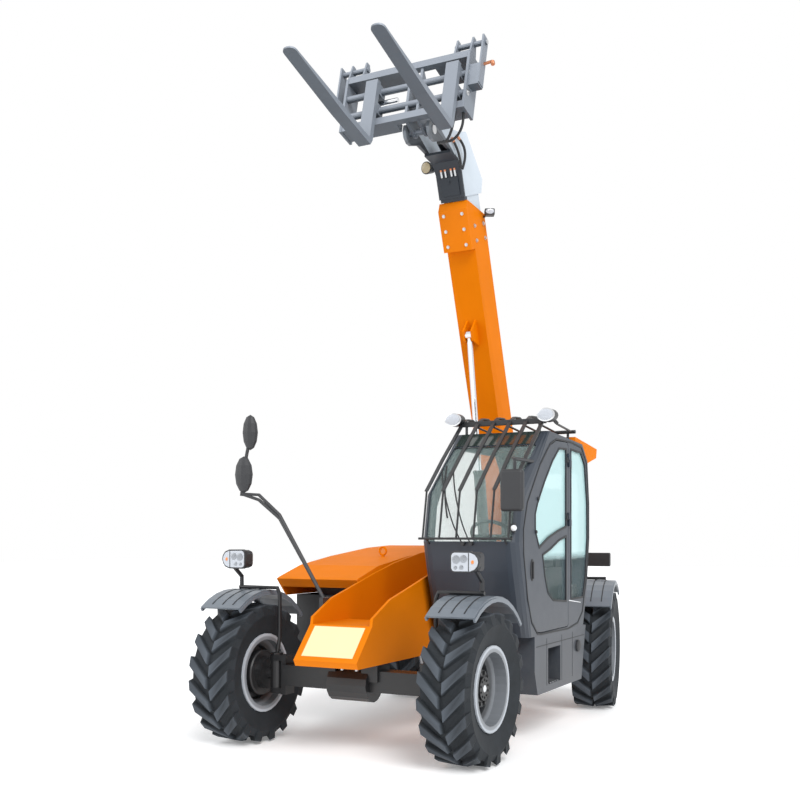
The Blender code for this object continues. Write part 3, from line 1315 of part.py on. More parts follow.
def cab_points(shares):
    """Shares of the cab's length and height as places behind the front axle."""
    return placed(spread(shares, (CAB_FRONT, CAB_FLOOR), (CAB_REAR, CAB_ROOF)))


def cab_height(share):
    return CAB_FLOOR + share * (CAB_ROOF - CAB_FLOOR)


def cab_back(share):
    return CAB_FRONT + share * (CAB_REAR - CAB_FRONT)


def cab_form(name, inset):
    """Closed form of the cab, set in from its outer face, with round front corners."""
    outline = offset_outline(cab_points(CAB_SHARES), -inset)
    radius = CAB_CORNER - inset
    first, last = CAB_FRONT_CORNERS[0], CAB_FRONT_CORNERS[-1]
    sections = []
    for step in range(CAB_CORNER_STEPS + 1):
        turn = math.pi / 2 * step / CAB_CORNER_STEPS
        moved = offset_outline(outline, -radius * (1 - math.sin(turn)))
        ring = [moved[i] if i in CAB_FRONT_CORNERS else outline[i] for i in range(len(outline))]
        for i in (first, last):
            ring[i] = (moved[i][0], outline[i][1])
        sections.append((radius * (1 - math.cos(turn)), ring))
    low, high = CAB_INNER_X + inset, CAB_OUTER_X - inset
    rings = [(low + shift, ring) for shift, ring in sections]
    rings += [(high - shift, ring) for shift, ring in reversed(sections)]
    return loft(name, rings)


def pane(name, low, high):
    """Curved pane that fills a window cut between two corners."""
    gap = Vector((SEAT_GAP, SEAT_GAP, SEAT_GAP))
    skin = cab_form(name, GLASS_INSET)
    overlap(skin, box(f"{name}_window", Vector(low) + gap, Vector(high) - gap))
    return keep(joined(skin, (), (cab_form(f"{name}_inside", GLASS_INSET + GLASS),)), CLEAR)


def door_hinge_back():
    return cab_back(DOOR_REAR_SHARE) + RUN_GAP / 2


def door_knuckles(name, way):
    """Hinge knuckles with their leaves: the door's stand on the shell's."""
    x, y = CAB_OUTER_X + DOOR_HINGE_OUT, aft(door_hinge_back())
    knuckles = []
    for i, share in enumerate(DOOR_HINGE_SHARES):
        height = cab_height(share)
        low = height - DOOR_HINGE_TALL - SEAT_GAP if way > 0 else height
        high = low + DOOR_HINGE_TALL
        barrel = rod(f"{name}_knuckle_{i}", (x, y, low), (x, y, high), DOOR_HINGE_RADIUS, 12)
        ends = sorted((y + way * DOOR_GAP, y + way * DOOR_LEAF))
        leaf = box(f"{name}_leaf_{i}", (CAB_OUTER_X - DOOR_GAP, ends[0], low + DOOR_GAP / 3),
                   (x + DOOR_HINGE_RADIUS / 2, ends[1], high - DOOR_GAP / 3))
        knuckles.append(joined(leaf, (barrel,)))
    return knuckles


def cab_windows():
    """Corners of the windscreen, roof and rear window cuts: name, low, high."""
    left, right = CAB_OUTER_X - SCREEN_MARGIN, CAB_INNER_X + SCREEN_MARGIN
    screen_low, screen_high = (cab_height(share) for share in SCREEN_SHARES)
    roof_front, roof_back = (cab_back(share) for share in ROOF_WINDOW_SHARES)
    rear_low, rear_high = (cab_height(share) for share in REAR_WINDOW_SHARES)
    beyond = CAB_WALL + OVERRUN
    return (
        ("windscreen", (right, aft(CAB_FRONT - OVERRUN), screen_low),
         (left, aft(roof_front - beyond), screen_high)),
        ("roof_glass", (CAB_INNER_X + ROOF_MARGIN, aft(roof_front), CAB_ROOF - beyond - CAB_WALL),
         (CAB_OUTER_X - ROOF_MARGIN, aft(roof_back), CAB_ROOF + OVERRUN)),
        ("rear_glass", (CAB_INNER_X + REAR_MARGIN, aft(CAB_REAR - beyond - CAB_WALL), rear_low),
         (CAB_OUTER_X - REAR_MARGIN, aft(CAB_REAR + OVERRUN), rear_high)),
    )


def cab():
    """Hollow cab shell with its window openings, then its glass and its door."""
    windows = cab_windows()
    cuts = [cab_form("cab_room", CAB_WALL)]
    cuts += [box(f"cut_{name}", low, high) for name, low, high in windows]
    far = cab_points(FAR_WINDOW_SHARES)
    quarter = cab_points(QUARTER_SHARES)
    entry = offset_outline(cab_points(DOOR_SHARES), DOOR_GAP)
    near = (CAB_OUTER_X - CAB_WALL - OVERRUN / 2, CAB_OUTER_X + OVERRUN)
    cuts.append(slab("cut_far", far, CAB_INNER_X - OVERRUN, CAB_INNER_X + CAB_WALL + OVERRUN))
    cuts.append(slab("cut_entry", entry, *near))
    cuts.append(slab("cut_quarter", quarter, *near))
    shell = joined(cab_form("cab_shell", 0.0), (), cuts)
    keep(joined(shell, door_knuckles("shell", 1)), SLATE)
    for name, low, high in windows:
        pane(name, low, high)
    depth = CAB_INNER_X + SIDE_GLASS_INSET
    keep(slab("right_glass", offset_outline(far, -SEAT_GAP), depth, depth + GLASS), CLEAR)
    depth = CAB_OUTER_X - SIDE_GLASS_INSET
    keep(slab("quarter_glass", offset_outline(quarter, -SEAT_GAP), depth, depth + GLASS), CLEAR)

    hinge = pivot("door_hinge_line",
                  (CAB_OUTER_X + DOOR_HINGE_OUT, aft(door_hinge_back()), CAB_FLOOR))
    upper, lower = cab_points(UPPER_WINDOW_SHARES), cab_points(LOWER_WINDOW_SHARES)
    door = slab("cab_door", cab_points(DOOR_SHARES), CAB_OUTER_X - CAB_WALL, CAB_OUTER_X,
                'X', (upper, lower))
    keep(joined(door, door_knuckles("door", -1)), SLATE)
    panes = [keep(slab(f"door_glass_{word}", offset_outline(loop, -SEAT_GAP), depth,
                       depth + GLASS), CLEAR)
             for word, loop in (("upper", upper), ("lower", lower))]
    carry(hinge, door, *panes)


def screen_back(height):
    """How far behind the front axle the windscreen's face is at a height."""
    face = spread([CAB_SHARES[i] for i in CAB_FRONT_CORNERS],
                  (CAB_FRONT, CAB_FLOOR), (CAB_REAR, CAB_ROOF))
    for (b0, z0), (b1, z1) in zip(face, face[1:]):
        if z0 <= height <= z1:
            return b0 + (b1 - b0) * (height - z0) / (z1 - z0)
    return face[-1][0]


def cab_guards():
    """Curved bars in front of the windscreen and over the roof, with the roof lamps."""
    first, last = CAB_INNER_X + GUARD_SIDE, CAB_OUTER_X - GUARD_SIDE
    rail_height = CAB_ROOF + ROOF_RAIL_RISE
    heights = [GUARD_LOW, *(cab_height(share) for share in GUARD_HEIGHT_SHARES)]
    bars = []
    for i in range(GUARD_BARS):
        x = first + (last - first) * i / (GUARD_BARS - 1)
        line = [(x, aft(screen_back(z) - GUARD_STAND), z) for z in heights]
        line.append((x, aft(ROOF_RAIL_BACK), rail_height))
        line += [(x, aft(ROOF_RAIL_BACK + back), rail_height + rise) for back, rise in ROOF_HUMP]
        bars.append(tube(f"guard_bar_{i}", line, GUARD_TUBE))
    low = (aft(screen_back(GUARD_LOW) - GUARD_STAND), GUARD_LOW)
    ends = (first - GUARD_INSET, last + GUARD_INSET)
    rail = rod("cab_guard", (ends[0], *low), (ends[1], *low), GUARD_TUBE, 10)
    inner = (first + GUARD_INSET, last - GUARD_INSET)
    feet = [rod(f"guard_foot_{i}", (x, low[0] + GUARD_TUBE / 4, GUARD_LOW),
                (x, aft(screen_back(GUARD_LOW)) + GLASS_INSET, GUARD_LOW - GUARD_STAND),
                GUARD_FOOT_RADIUS, 6)
            for i, x in enumerate(inner)]
    crosses = []
    rails = ((ROOF_RAIL_BACK, rail_height), (ROOF_REAR_RAIL, rail_height + ROOF_HUMP[-1][1]))
    for i, (back, height) in enumerate(rails):
        crosses.append(rod(f"guard_cross_{i}", (ends[0], aft(back), height),
                           (ends[1], aft(back), height), ROOF_RAIL_TUBE, 10))
        for j, x in enumerate(inner):
            crosses.append(rod(f"guard_post_{i}_{j}", (x, aft(back), height),
                               (x, aft(back), roof_height(back)), ROOF_RAIL_POST, 6))
    lamps = []
    y = aft(ROOF_RAIL_BACK)
    for i, x in enumerate((first - ROOF_LAMP_OUT, last + ROOF_LAMP_OUT)):
        lamp = rod(f"roof_lamp_{i}", (x, y, rail_height), (x, y - ROOF_LAMP_DEPTH, rail_height),
                   ROOF_LAMP_WIDE, 16)
        flat = Matrix.Diagonal((1, 1, ROOF_LAMP_TALL / ROOF_LAMP_WIDE, 1))
        centre = Matrix.Translation((0, 0, rail_height))
        place = centre @ flat @ centre.inverted() @ lamp.matrix_world
        lamp.data.transform(place)
        lamp.matrix_world = Matrix.Translation((0, 0, ROOF_LAMP_RISE))
        lamps.append(lamp)
    trim = cab_form("guard_trim", -SEAT_GAP)
    keep(joined(rail, (*bars, *feet, *crosses, *lamps), (trim,)), TRIM)


def roof_height(back):
    """Height of the roof's outer face at a place behind the front axle."""
    front, rear = spread([CAB_SHARES[i] for i in (6, 7)],
                         (CAB_FRONT, CAB_FLOOR), (CAB_REAR, CAB_ROOF))
    share = (back - front[0]) / (rear[0] - front[0])
    return front[1] + share * (rear[1] - front[1])


def cab_inside():
    """Seat, and the dashboard with its steering wheel."""
    floor = CAB_FLOOR + CAB_WALL + SEAT_GAP
    mid = (CAB_INNER_X + CAB_OUTER_X) / 2
    seat_back = SEAT_FRONT + SEAT_LENGTH
    base = box("seat", (mid - SEAT_BASE_HALF, aft(SEAT_FRONT + SEAT_BASE_INSET), floor),
               (mid + SEAT_BASE_HALF, aft(seat_back), floor + SEAT_BASE_TALL))
    cushion = box("seat_pan", (mid - SEAT_HALF, aft(SEAT_FRONT), floor + SEAT_PAN[0]),
                  (mid + SEAT_HALF, aft(seat_back - PLATE_LAP), floor + SEAT_PAN[1]))
    rest = slab("seat_back", placed((
        (seat_back - SEAT_REST_THICK, floor + SEAT_REST_FOOT),
        (seat_back - PLATE_LAP / 2, floor + SEAT_REST_FOOT),
        (seat_back + SEAT_REST_LEAN, floor + SEAT_REST_TOP),
        (seat_back + SEAT_REST_LEAN - SEAT_REST_THICK, floor + SEAT_REST_TOP))),
        mid - SEAT_BACK_HALF, mid + SEAT_BACK_HALF)
    keep(joined(base, (cushion, rest)), TRIM)
    dash = slab("dashboard", placed(spread(DASH_SHARES, (DASH_BACKS[0], floor),
                                           (DASH_BACKS[1], floor + DASH_TALL))),
                mid - DASH_HALF, mid + DASH_HALF)
    foot = Vector((mid, aft(COLUMN_FOOT[0]), COLUMN_FOOT[1]))
    top = Vector((mid, aft(COLUMN_TOP[0]), COLUMN_TOP[1]))
    column = rod("dash_column", foot, top, COLUMN_RADIUS, 12)
    turn = (foot - top).to_track_quat('Z', 'Y').to_matrix().to_4x4()
    ring = arc((STEERING_WHEEL_RADIUS, 0.0), STEERING_WHEEL_TUBE, math.pi / 2,
               -math.pi * 5 / 4, 7)
    wheel = turned("dash_wheel", ring, STEERING_WHEEL_STEPS, Matrix.Translation(top) @ turn)
    wide, thick = SPOKE_HALF
    spoke = box("dash_spoke", (-STEERING_WHEEL_RADIUS, -wide, -thick),
                (STEERING_WHEEL_RADIUS, wide, thick))
    spoke.matrix_world = Matrix.Translation(top) @ turn @ spoke.matrix_world
    keep(joined(dash, (column, wheel, spoke)), TRIM)


def left_side():
    """Tank and step box under the cab door, with the mounts that carry both."""
    top = CAB_FLOOR - SEAT_GAP
    body = slab("side_tank", placed((
        (SKIRT_FRONT, SKIRT_LOW), (SKIRT_BACK, SKIRT_LOW), (SKIRT_BACK + SKIRT_TOP_LEAN, top),
        (SKIRT_FRONT - SKIRT_FLARE, top), (SKIRT_FRONT - SKIRT_FLARE, SKIRT_KNEE))),
        SKIRT_INNER_X, CAB_OUTER_X)
    recess = box("step_recess", (CAB_OUTER_X - STEP_DEPTH, aft(STEP_FRONT), STEP_LOW),
                 (CAB_OUTER_X + OVERRUN, aft(STEP_BACK), STEP_HIGH))
    backs, heights = CAB_MOUNT_BACKS, CAB_MOUNT_HEIGHTS
    mounts = box("cab_mounts", (FRAME_HALF + SEAT_GAP, aft(backs[0]), heights[0]),
                 (SKIRT_INNER_X + OVERRUN, aft(backs[1]), heights[1]))
    keep(joined(body, (mounts,), (recess,)), SLATE)


def right_side():
    """Engine bay, engine and the tilting hood."""
    profile = placed(spread(HOOD_SHARES, (HOOD_FRONT, HOOD_LOW), (HOOD_BACK, HOOD_TOP)))
    lid = slab("hood_lid", profile, HOOD_OUTER_X, HOOD_INNER_X - SEAT_GAP)
    below = [(y, z - OVERRUN if i in HOOD_OPEN_CORNERS else z)
             for i, (y, z) in enumerate(offset_outline(profile, -HOOD_WALL))]
    room = slab("hood_room", below, HOOD_OUTER_X + HOOD_WALL, HOOD_INNER_X - HOOD_WALL)
    keep(joined(lid, (), (room,)), ORANGE)
    hinge = pivot("hood_hinge_line", (0, aft(HOOD_BACK), HOOD_TOP - HOOD_HINGE_DROP))
    carry(hinge, lid)
    outer = HOOD_OUTER_X + BAY_WALL
    inner = -FRAME_HALF - SEAT_GAP
    bay = box("engine_bay", (outer, aft(BAY_FRONT), BAY_LOW),
              (inner, aft(BAY_BACK), HOOD_LOW - SEAT_GAP))
    bay_room = box("bay_room", (outer + BAY_WALL, aft(BAY_FRONT + BAY_WALL), BAY_LOW + BAY_WALL),
                   (inner - BAY_WALL, aft(BAY_BACK - BAY_WALL), HOOD_LOW + OVERRUN))
    keep(joined(bay, (), (bay_room,)), BLACK)
    front, back = ENGINE_BACKS
    keep(box("engine_block", (outer + ENGINE_INSETS[0], aft(front), BAY_LOW + BAY_WALL + SEAT_GAP),
             (inner - ENGINE_INSETS[1], aft(back), ENGINE_TOP)), BLACK)


def right_mirror():
    """Long arm on the frame's right side with two mirrors at its end."""
    x0 = -FRAME_HALF - SEAT_GAP
    wide, deep, tall = MIRROR_FOOT
    foot = box("right_mirror", (x0 - wide, aft(MIRROR_FOOT_BACK), MIRROR_FOOT_HEIGHT),
               (x0, aft(MIRROR_FOOT_BACK + deep), MIRROR_FOOT_HEIGHT + tall))
    start = Vector((x0 - wide / 2, aft(MIRROR_FOOT_BACK + deep / 2), MIRROR_FOOT_HEIGHT + tall / 2))
    end = Vector((MIRROR_TIP_X, aft(0), MIRROR_TIP_HEIGHT))
    arms = []
    for i, spread_out in enumerate((0.0, MIRROR_ARM_SPREAD)):
        line = [start]
        for out, up in MIRROR_ARM_SHARES:
            line.append(Vector((start.x + out * (end.x - start.x),
                                start.y + out * (end.y - start.y),
                                start.z + up * (end.z - start.z) + spread_out * out)))
        line.append(end)
        arms.append(tube(f"mirror_arm_{i}", line, MIRROR_ARM_TUBE))
    stem = tube("mirror_stem", [end + Vector((lean, 0, rise)) for lean, rise
                                in zip(MIRROR_STEM_LEANS, MIRROR_STEM_RISES)], MIRROR_ARM_TUBE)
    heads = [ball(f"mirror_head_{i}", end + Vector((lean, 0, rise)), (wide, MIRROR_DEPTH, tall), 12)
             for i, (lean, rise, wide, tall) in enumerate(MIRROR_HEADS)]
    smooth(keep(joined(foot, (*arms, stem, *heads)), TRIM))


def left_mirror():
    """Mirror in front of the cab's left pillar, on a bent tube from the pillar."""
    low = Vector((CAB_MIRROR_LOW[0], aft(CAB_MIRROR_LOW[1]), CAB_MIRROR_LOW[2]))
    high = low + Vector(CAB_MIRROR_SIZE)
    head = soft_box("left_mirror", low, high, CAB_MIRROR_EDGE)
    x = (low.x + high.x) / 2
    y = (low.y + high.y) / 2
    up = high.z + CAB_MIRROR_ARM_RISE
    back = y + CAB_MIRROR_ARM_BACK
    pillar = CAB_OUTER_X - MIRROR_ARM_TUBE - GLASS_INSET
    corner = aft(screen_back(up)) + CAB_CORNER * 2 / 3
    arm = tube("left_mirror_arm", [(x, y, high.z - CAB_MIRROR_EDGE), (x, y, up - MIRROR_ARM_TUBE),
                                   (pillar, back, up), (pillar, corner, up)], MIRROR_ARM_TUBE)
    joined(head, (arm,), (cab_form("mirror_arm_trim", -SEAT_GAP),))
    smooth(keep(head, TRIM))


def roof_rear():
    """Orange cover that sits on the rear edge of the cab's roof."""
    low, high = (ROOF_COVER_BACKS[0], ROOF_COVER_HEIGHTS[0]), (ROOF_COVER_BACKS[1],
                                                              ROOF_COVER_HEIGHTS[1])
    cover = slab("roof_rear_cover", placed(spread(ROOF_COVER_SHARES, low, high)), *ROOF_COVER_X)
    keep(joined(cover, (), (cab_form("roof_cover_trim", -SEAT_GAP),)), ORANGE)


def build():
    build_corners()
    axle("front_axle", 0.0, 0.0)
    axle("rear_axle", WHEELBASE, REAR_STEER_REST)
    chassis()
    tail_pieces()
    boom_shell()
    boom_head()
    boom_neck()
    lift_cylinder()
    tilt_cylinder()
    carriage()
    fork_pieces = forks()
    cab()
    cab_guards()
    cab_inside()
    left_side()
    right_side()
    right_mirror()
    left_mirror()
    roof_rear()
    boom = pivot("boom_pivot_line", boom_point(0, 0))
    tilt = pivot("carriage_pivot_line", fork_point(TILT_PIN_REACH, TILT_PIN_RISE))
    named = bpy.data.objects
    carry(tilt, named["carriage_frame"], *fork_pieces)
    carry(boom, named["boom_outer"], named["boom_inner"], named["boom_neck"],
          named["tilt_barrel"], named["tilt_rod"], tilt)


build()
bpy.context.view_layer.update()
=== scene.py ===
"""Studio scene of a compact telehandler, laid out as an add-on and run as a script.

Every piece is in metres in the frame of the machine's solids: +Z up, the machine faces -Y
and its cab is on +X.
"""

import math

import bmesh
import bpy
from mathutils import Matrix, Vector


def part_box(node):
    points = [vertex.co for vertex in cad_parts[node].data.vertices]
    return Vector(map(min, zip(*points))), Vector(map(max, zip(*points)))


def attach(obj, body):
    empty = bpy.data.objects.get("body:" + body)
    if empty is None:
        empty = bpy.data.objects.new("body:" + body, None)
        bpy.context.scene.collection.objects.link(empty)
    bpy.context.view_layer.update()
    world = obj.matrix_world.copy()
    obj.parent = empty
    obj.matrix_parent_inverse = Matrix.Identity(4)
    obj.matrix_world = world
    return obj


bl_info = {
    "name": "Telehandler Studio Pieces",
    "version": (1, 0, 0),
    "blender": (4, 5, 0),
    "location": "View3D > Sidebar > Telehandler",
    "description": "Finishes, fittings and studio for a compact telehandler",
    "category": "Object",
}

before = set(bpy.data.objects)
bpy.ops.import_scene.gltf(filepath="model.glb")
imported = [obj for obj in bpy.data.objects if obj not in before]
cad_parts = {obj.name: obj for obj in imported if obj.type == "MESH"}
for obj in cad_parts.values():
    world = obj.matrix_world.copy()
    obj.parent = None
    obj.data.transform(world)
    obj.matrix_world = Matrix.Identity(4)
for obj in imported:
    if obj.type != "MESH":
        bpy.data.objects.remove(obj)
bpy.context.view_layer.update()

# Places shared by several pieces
FRONT_AXLE_Y = -1.3575
BOOM_PIVOT = Vector((0.0, FRONT_AXLE_Y + 2.750, 1.450))
BOOM_ANGLE = math.radians(69.8)
FORK_TILT = math.radians(14.6)
WHEELBASE = 2.538
AXLE_HEIGHT = 0.485
KINGPIN_X = 0.620
REAR_TURN = math.radians(11.24)
WHEELS = (("front_left", 1, 0.0), ("front_right", -1, 0.0), ("rear_left", 1, REAR_TURN),
          ("rear_right", -1, REAR_TURN))

# Half widths of the outer boom and its collar, and the carriage's shafts and ends
BOOM_SIDE, COLLAR_SIDE = 0.1206, 0.1232
SHAFT_RISES = (0.280, 0.438)
CARRIAGE_LEFT, CARRIAGE_RIGHT = 0.437, -0.603

# Cab's left face, the place and size of its side view, and outlines as shares of that size
CAB_SIDE = 0.985
CAB_BACK, CAB_LENGTH = 0.430, 1.545
CAB_FOOT, CAB_HEIGHT = 0.745, 1.440
CAB_FACE = ((0.136, 0.0), (0.084, 0.142), (0.032, 0.316), (0.0, 0.451), (0.045, 0.694),
            (0.214, 0.856), (0.395, 1.0))
DOOR_SEAM = (
    (0.290, 0.015), (0.251, 0.020), (0.183, 0.076), (0.135, 0.188), (0.086, 0.403),
    (0.085, 0.510), (0.130, 0.633), (0.205, 0.722), (0.291, 0.823), (0.421, 0.930),
    (0.500, 0.958), (0.720, 0.960), (0.872, 0.945), (0.948, 0.870), (0.982, 0.657),
    (0.983, 0.470), (0.952, 0.262), (0.906, 0.153), (0.882, 0.080), (0.811, 0.028),
    (0.672, 0.010),
)
UPPER_WINDOW = (
    (0.272, 0.426), (0.223, 0.504), (0.222, 0.585), (0.250, 0.637), (0.339, 0.744),
    (0.450, 0.856), (0.540, 0.922), (0.640, 0.926), (0.640, 0.530), (0.517, 0.506),
    (0.392, 0.474),
)
LOWER_WINDOW = (
    (0.316, 0.389), (0.344, 0.288), (0.385, 0.203), (0.458, 0.161), (0.640, 0.146),
    (0.640, 0.478), (0.539, 0.459), (0.413, 0.414),
)
QUARTER_WINDOW = (
    (0.712, 0.153), (0.712, 0.930), (0.870, 0.924), (0.929, 0.861), (0.968, 0.650),
    (0.970, 0.470), (0.938, 0.260), (0.896, 0.153),
)

# Dust on paint, worn tops of tyre lugs, and heights where pale sky is painted into side glass
DUST_TOP, DUST_FULL = 1.2, 0.2
DUST_COLOUR = (0.30, 0.26, 0.21)
LUG_FOOT, LUG_TOP = 0.462, 0.483
PAINTED_SKY_HEIGHTS = (1.26, 1.32)
# Painted shade: the dark grey of the boom's neck and of the head's underside
UNDERSIDE_SHADE = (0.026, 0.032, 0.041)


def aft(distance):
    """Y of a place that lies this far behind the front axle."""
    return FRONT_AXLE_Y + distance


def boom_point(station, rise, x=0.0):
    """Place at a station along the boom and a rise above its pivot line."""
    c, s = math.cos(BOOM_ANGLE), math.sin(BOOM_ANGLE)
    return BOOM_PIVOT + Vector((x, -station * c + rise * s, station * s + rise * c))


def fork_point(reach, rise, x=0.0):
    """Place at a reach along the fork blades and a rise along their shanks."""
    c, s = math.cos(FORK_TILT), math.sin(FORK_TILT)
    corner = boom_point(3.456, -0.910, x)
    return corner + Vector((0.0, -reach * c + rise * s, reach * s + rise * c))


def fork_turn():
    """Matrix whose local X runs across, Y along the blades and Z along the shanks."""
    origin = fork_point(0.0, 0.0)
    across, reach, rise = Vector((1, 0, 0)), fork_point(1, 0) - origin, fork_point(0, 1) - origin
    return Matrix([(across[i], reach[i], rise[i], origin[i]) for i in range(3)] + [(0, 0, 0, 1)])


def offset_outline(outline, distance):
    """Move each edge of a closed outline outward by a distance (inward if negative)."""
    count = len(outline)
    area = sum(outline[i][0] * outline[(i + 1) % count][1]
               - outline[(i + 1) % count][0] * outline[i][1] for i in range(count))
    turn = 1.0 if area > 0 else -1.0
    moved = []
    for i in range(count):
        before = Vector(outline[i]) - Vector(outline[i - 1])
        after = Vector(outline[(i + 1) % count]) - Vector(outline[i])
        n_before = Vector((before.y, -before.x)).normalized() * turn
        n_after = Vector((after.y, -after.x)).normalized() * turn
        mean = (n_before + n_after) / (1 + n_before.dot(n_after))
        moved.append(tuple(Vector(outline[i]) + mean * distance))
    return moved


def cab_points(shares):
    """Shares of the cab's length and height as (y, z) places."""
    return [(aft(CAB_BACK + u * CAB_LENGTH), CAB_FOOT + v * CAB_HEIGHT) for u, v in shares]


def tyre_centre(wheel):
    low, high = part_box(f"{wheel}_tyre")
    return (Vector(low) + Vector(high)) / 2


# Mesh helpers

def mesh_piece(name, shape, place=None):
    mesh = bpy.data.meshes.new(name)
    bmesh.ops.recalc_face_normals(shape, faces=shape.faces)
    shape.to_mesh(mesh)
    shape.free()
    piece = bpy.data.objects.new(name, mesh)
    bpy.context.scene.collection.objects.link(piece)
    if place is not None:
        piece.matrix_world = place
    return piece


def add_box(shape, low, high, place=None):
    low, high = Vector(low), Vector(high)
    made = bmesh.ops.create_cube(shape, size=1.0)
    for vert in made["verts"]:
        vert.co = Vector(((low[i] + high[i]) / 2 + vert.co[i] * (high[i] - low[i])
                          for i in range(3)))
        if place is not None:
            vert.co = place @ vert.co


def raised(pair, level, axis):
    """Flat pair with its third coordinate put in at an axis."""
    return (*pair[:axis], level, *pair[axis:])


def add_prism(shape, outline, low, high, axis=0):
    """Flat outline, thick along an axis: X takes (y, z) pairs, Y (x, z), Z (x, y)."""
    ends = [[shape.verts.new(raised(pair, level, axis)) for pair in outline] for level in (low, high)]
    shape.faces.new(ends[0])
    shape.faces.new(ends[1])
    for i in range(len(outline)):
        shape.faces.new((ends[0][i - 1], ends[0][i], ends[1][i], ends[1][i - 1]))


def add_ring(shape, outer, inner, low, high, axis=0):
    """Flat band between two outlines with equally many points, thick along an axis."""
    loops = [[shape.verts.new(raised(pair, level, axis)) for pair in loop]
             for loop, level in ((outer, low), (outer, high), (inner, high), (inner, low))]
    for a, b in zip(loops, loops[1:] + loops[:1]):
        for i in range(len(a)):
            shape.faces.new((a[i - 1], a[i], b[i], b[i - 1]))


def add_rod(shape, start, end, radius, segments=16, end_radius=None):
    start, end = Vector(start), Vector(end)
    along = end - start
    turn = along.to_track_quat('Z', 'Y').to_matrix().to_4x4()
    place = Matrix.Translation((start + end) / 2) @ turn
    bmesh.ops.create_cone(shape, cap_ends=True, segments=segments, radius1=radius,
                          radius2=radius if end_radius is None else end_radius,
                          depth=along.length, matrix=place)


def add_bolt(shape, place, toward, radius):
    """Hexagon head with a washer, standing on a surface."""
    place, toward = Vector(place), Vector(toward).normalized()
    add_rod(shape, place - toward * 0.001, place + toward * radius * 0.25, radius * 1.35, 18)
    add_rod(shape, place, place + toward * radius * 0.9, radius, 6)


def add_turned(shape, profile, place, steps=32):
    """Open or closed profile of (radius, height) pairs turned about local Z."""
    rings = []
    for radius, height in profile:
        if radius < 0.00001:
            rings.append([shape.verts.new(place @ Vector((0, 0, height)))])
        else:
            rings.append([shape.verts.new(place @ Vector((
                radius * math.cos(2 * math.pi * i / steps),
                radius * math.sin(2 * math.pi * i / steps), height)))
                for i in range(steps)])
    for lower, upper in zip(rings, rings[1:]):
        for i in range(steps):
            corners = [lower[i % len(lower)], lower[(i + 1) % len(lower)],
                       upper[(i + 1) % len(upper)], upper[i % len(upper)]]
            unique = list(dict.fromkeys(corners))
            if len(unique) > 2:
                shape.faces.new(unique)


def add_ball(shape, centre, radius, around, rings):
    """Ball whose poles are above and below its centre."""
    profile = [(radius * math.sin(math.pi * i / rings), -radius * math.cos(math.pi * i / rings))
               for i in range(rings + 1)]
    add_turned(shape, profile, Matrix.Translation(centre), around)


def soften(piece, width, segments=2, angle=math.radians(40)):
    """Round the hard edges and shade the rest smoothly."""
    bevel = piece.modifiers.new("edge_round", 'BEVEL')
    bevel.width = width
    bevel.segments = segments
    bevel.limit_method = 'ANGLE'
    bevel.angle_limit = angle
    bevel.harden_normals = True
    piece.data.shade_smooth()
    piece.data.set_sharp_from_angle(angle=angle)
    return piece


def shaded(piece, angle=math.radians(40)):
    piece.data.shade_smooth()
    piece.data.set_sharp_from_angle(angle=angle)
    return piece


def hose(name, points, radius, material, body, resolution=3):
    """Smooth hose or pipe through a list of places."""
    curve = bpy.data.curves.new(name, 'CURVE')
    curve.dimensions = '3D'
    curve.bevel_depth = radius
    curve.bevel_resolution = resolution
    curve.use_fill_caps = True
    curve.resolution_u = 8
    spline = curve.splines.new('NURBS')
    spline.points.add(len(points) - 1)
    for point, place in zip(spline.points, points):
        point.co = (*place, 1.0)
    spline.order_u = min(4, len(points))
    spline.use_endpoint_u = True
    piece = bpy.data.objects.new(name, curve)
    bpy.context.scene.collection.objects.link(piece)
    return dress(piece, material, body)


def dress(piece, material, body):
    """Give a finished piece its material and the body that it moves with."""
    piece.data.materials.clear()
    piece.data.materials.append(material)
    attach(piece, body)
    return piece


# Finishes

def set_sockets(tree, node, sockets):
    """Each socket takes a number, a colour or the output of another node."""
    for key, value in sockets.items():
        if isinstance(value, bpy.types.NodeSocket):
            tree.links.new(value, node.inputs[key])
        else:
            node.inputs[key].default_value = value


def add_node(tree, kind, sockets, **settings):
    node = tree.nodes.new("ShaderNode" + kind)
    for key, value in settings.items():
        setattr(node, key, value)
    set_sockets(tree, node, sockets)
    return node


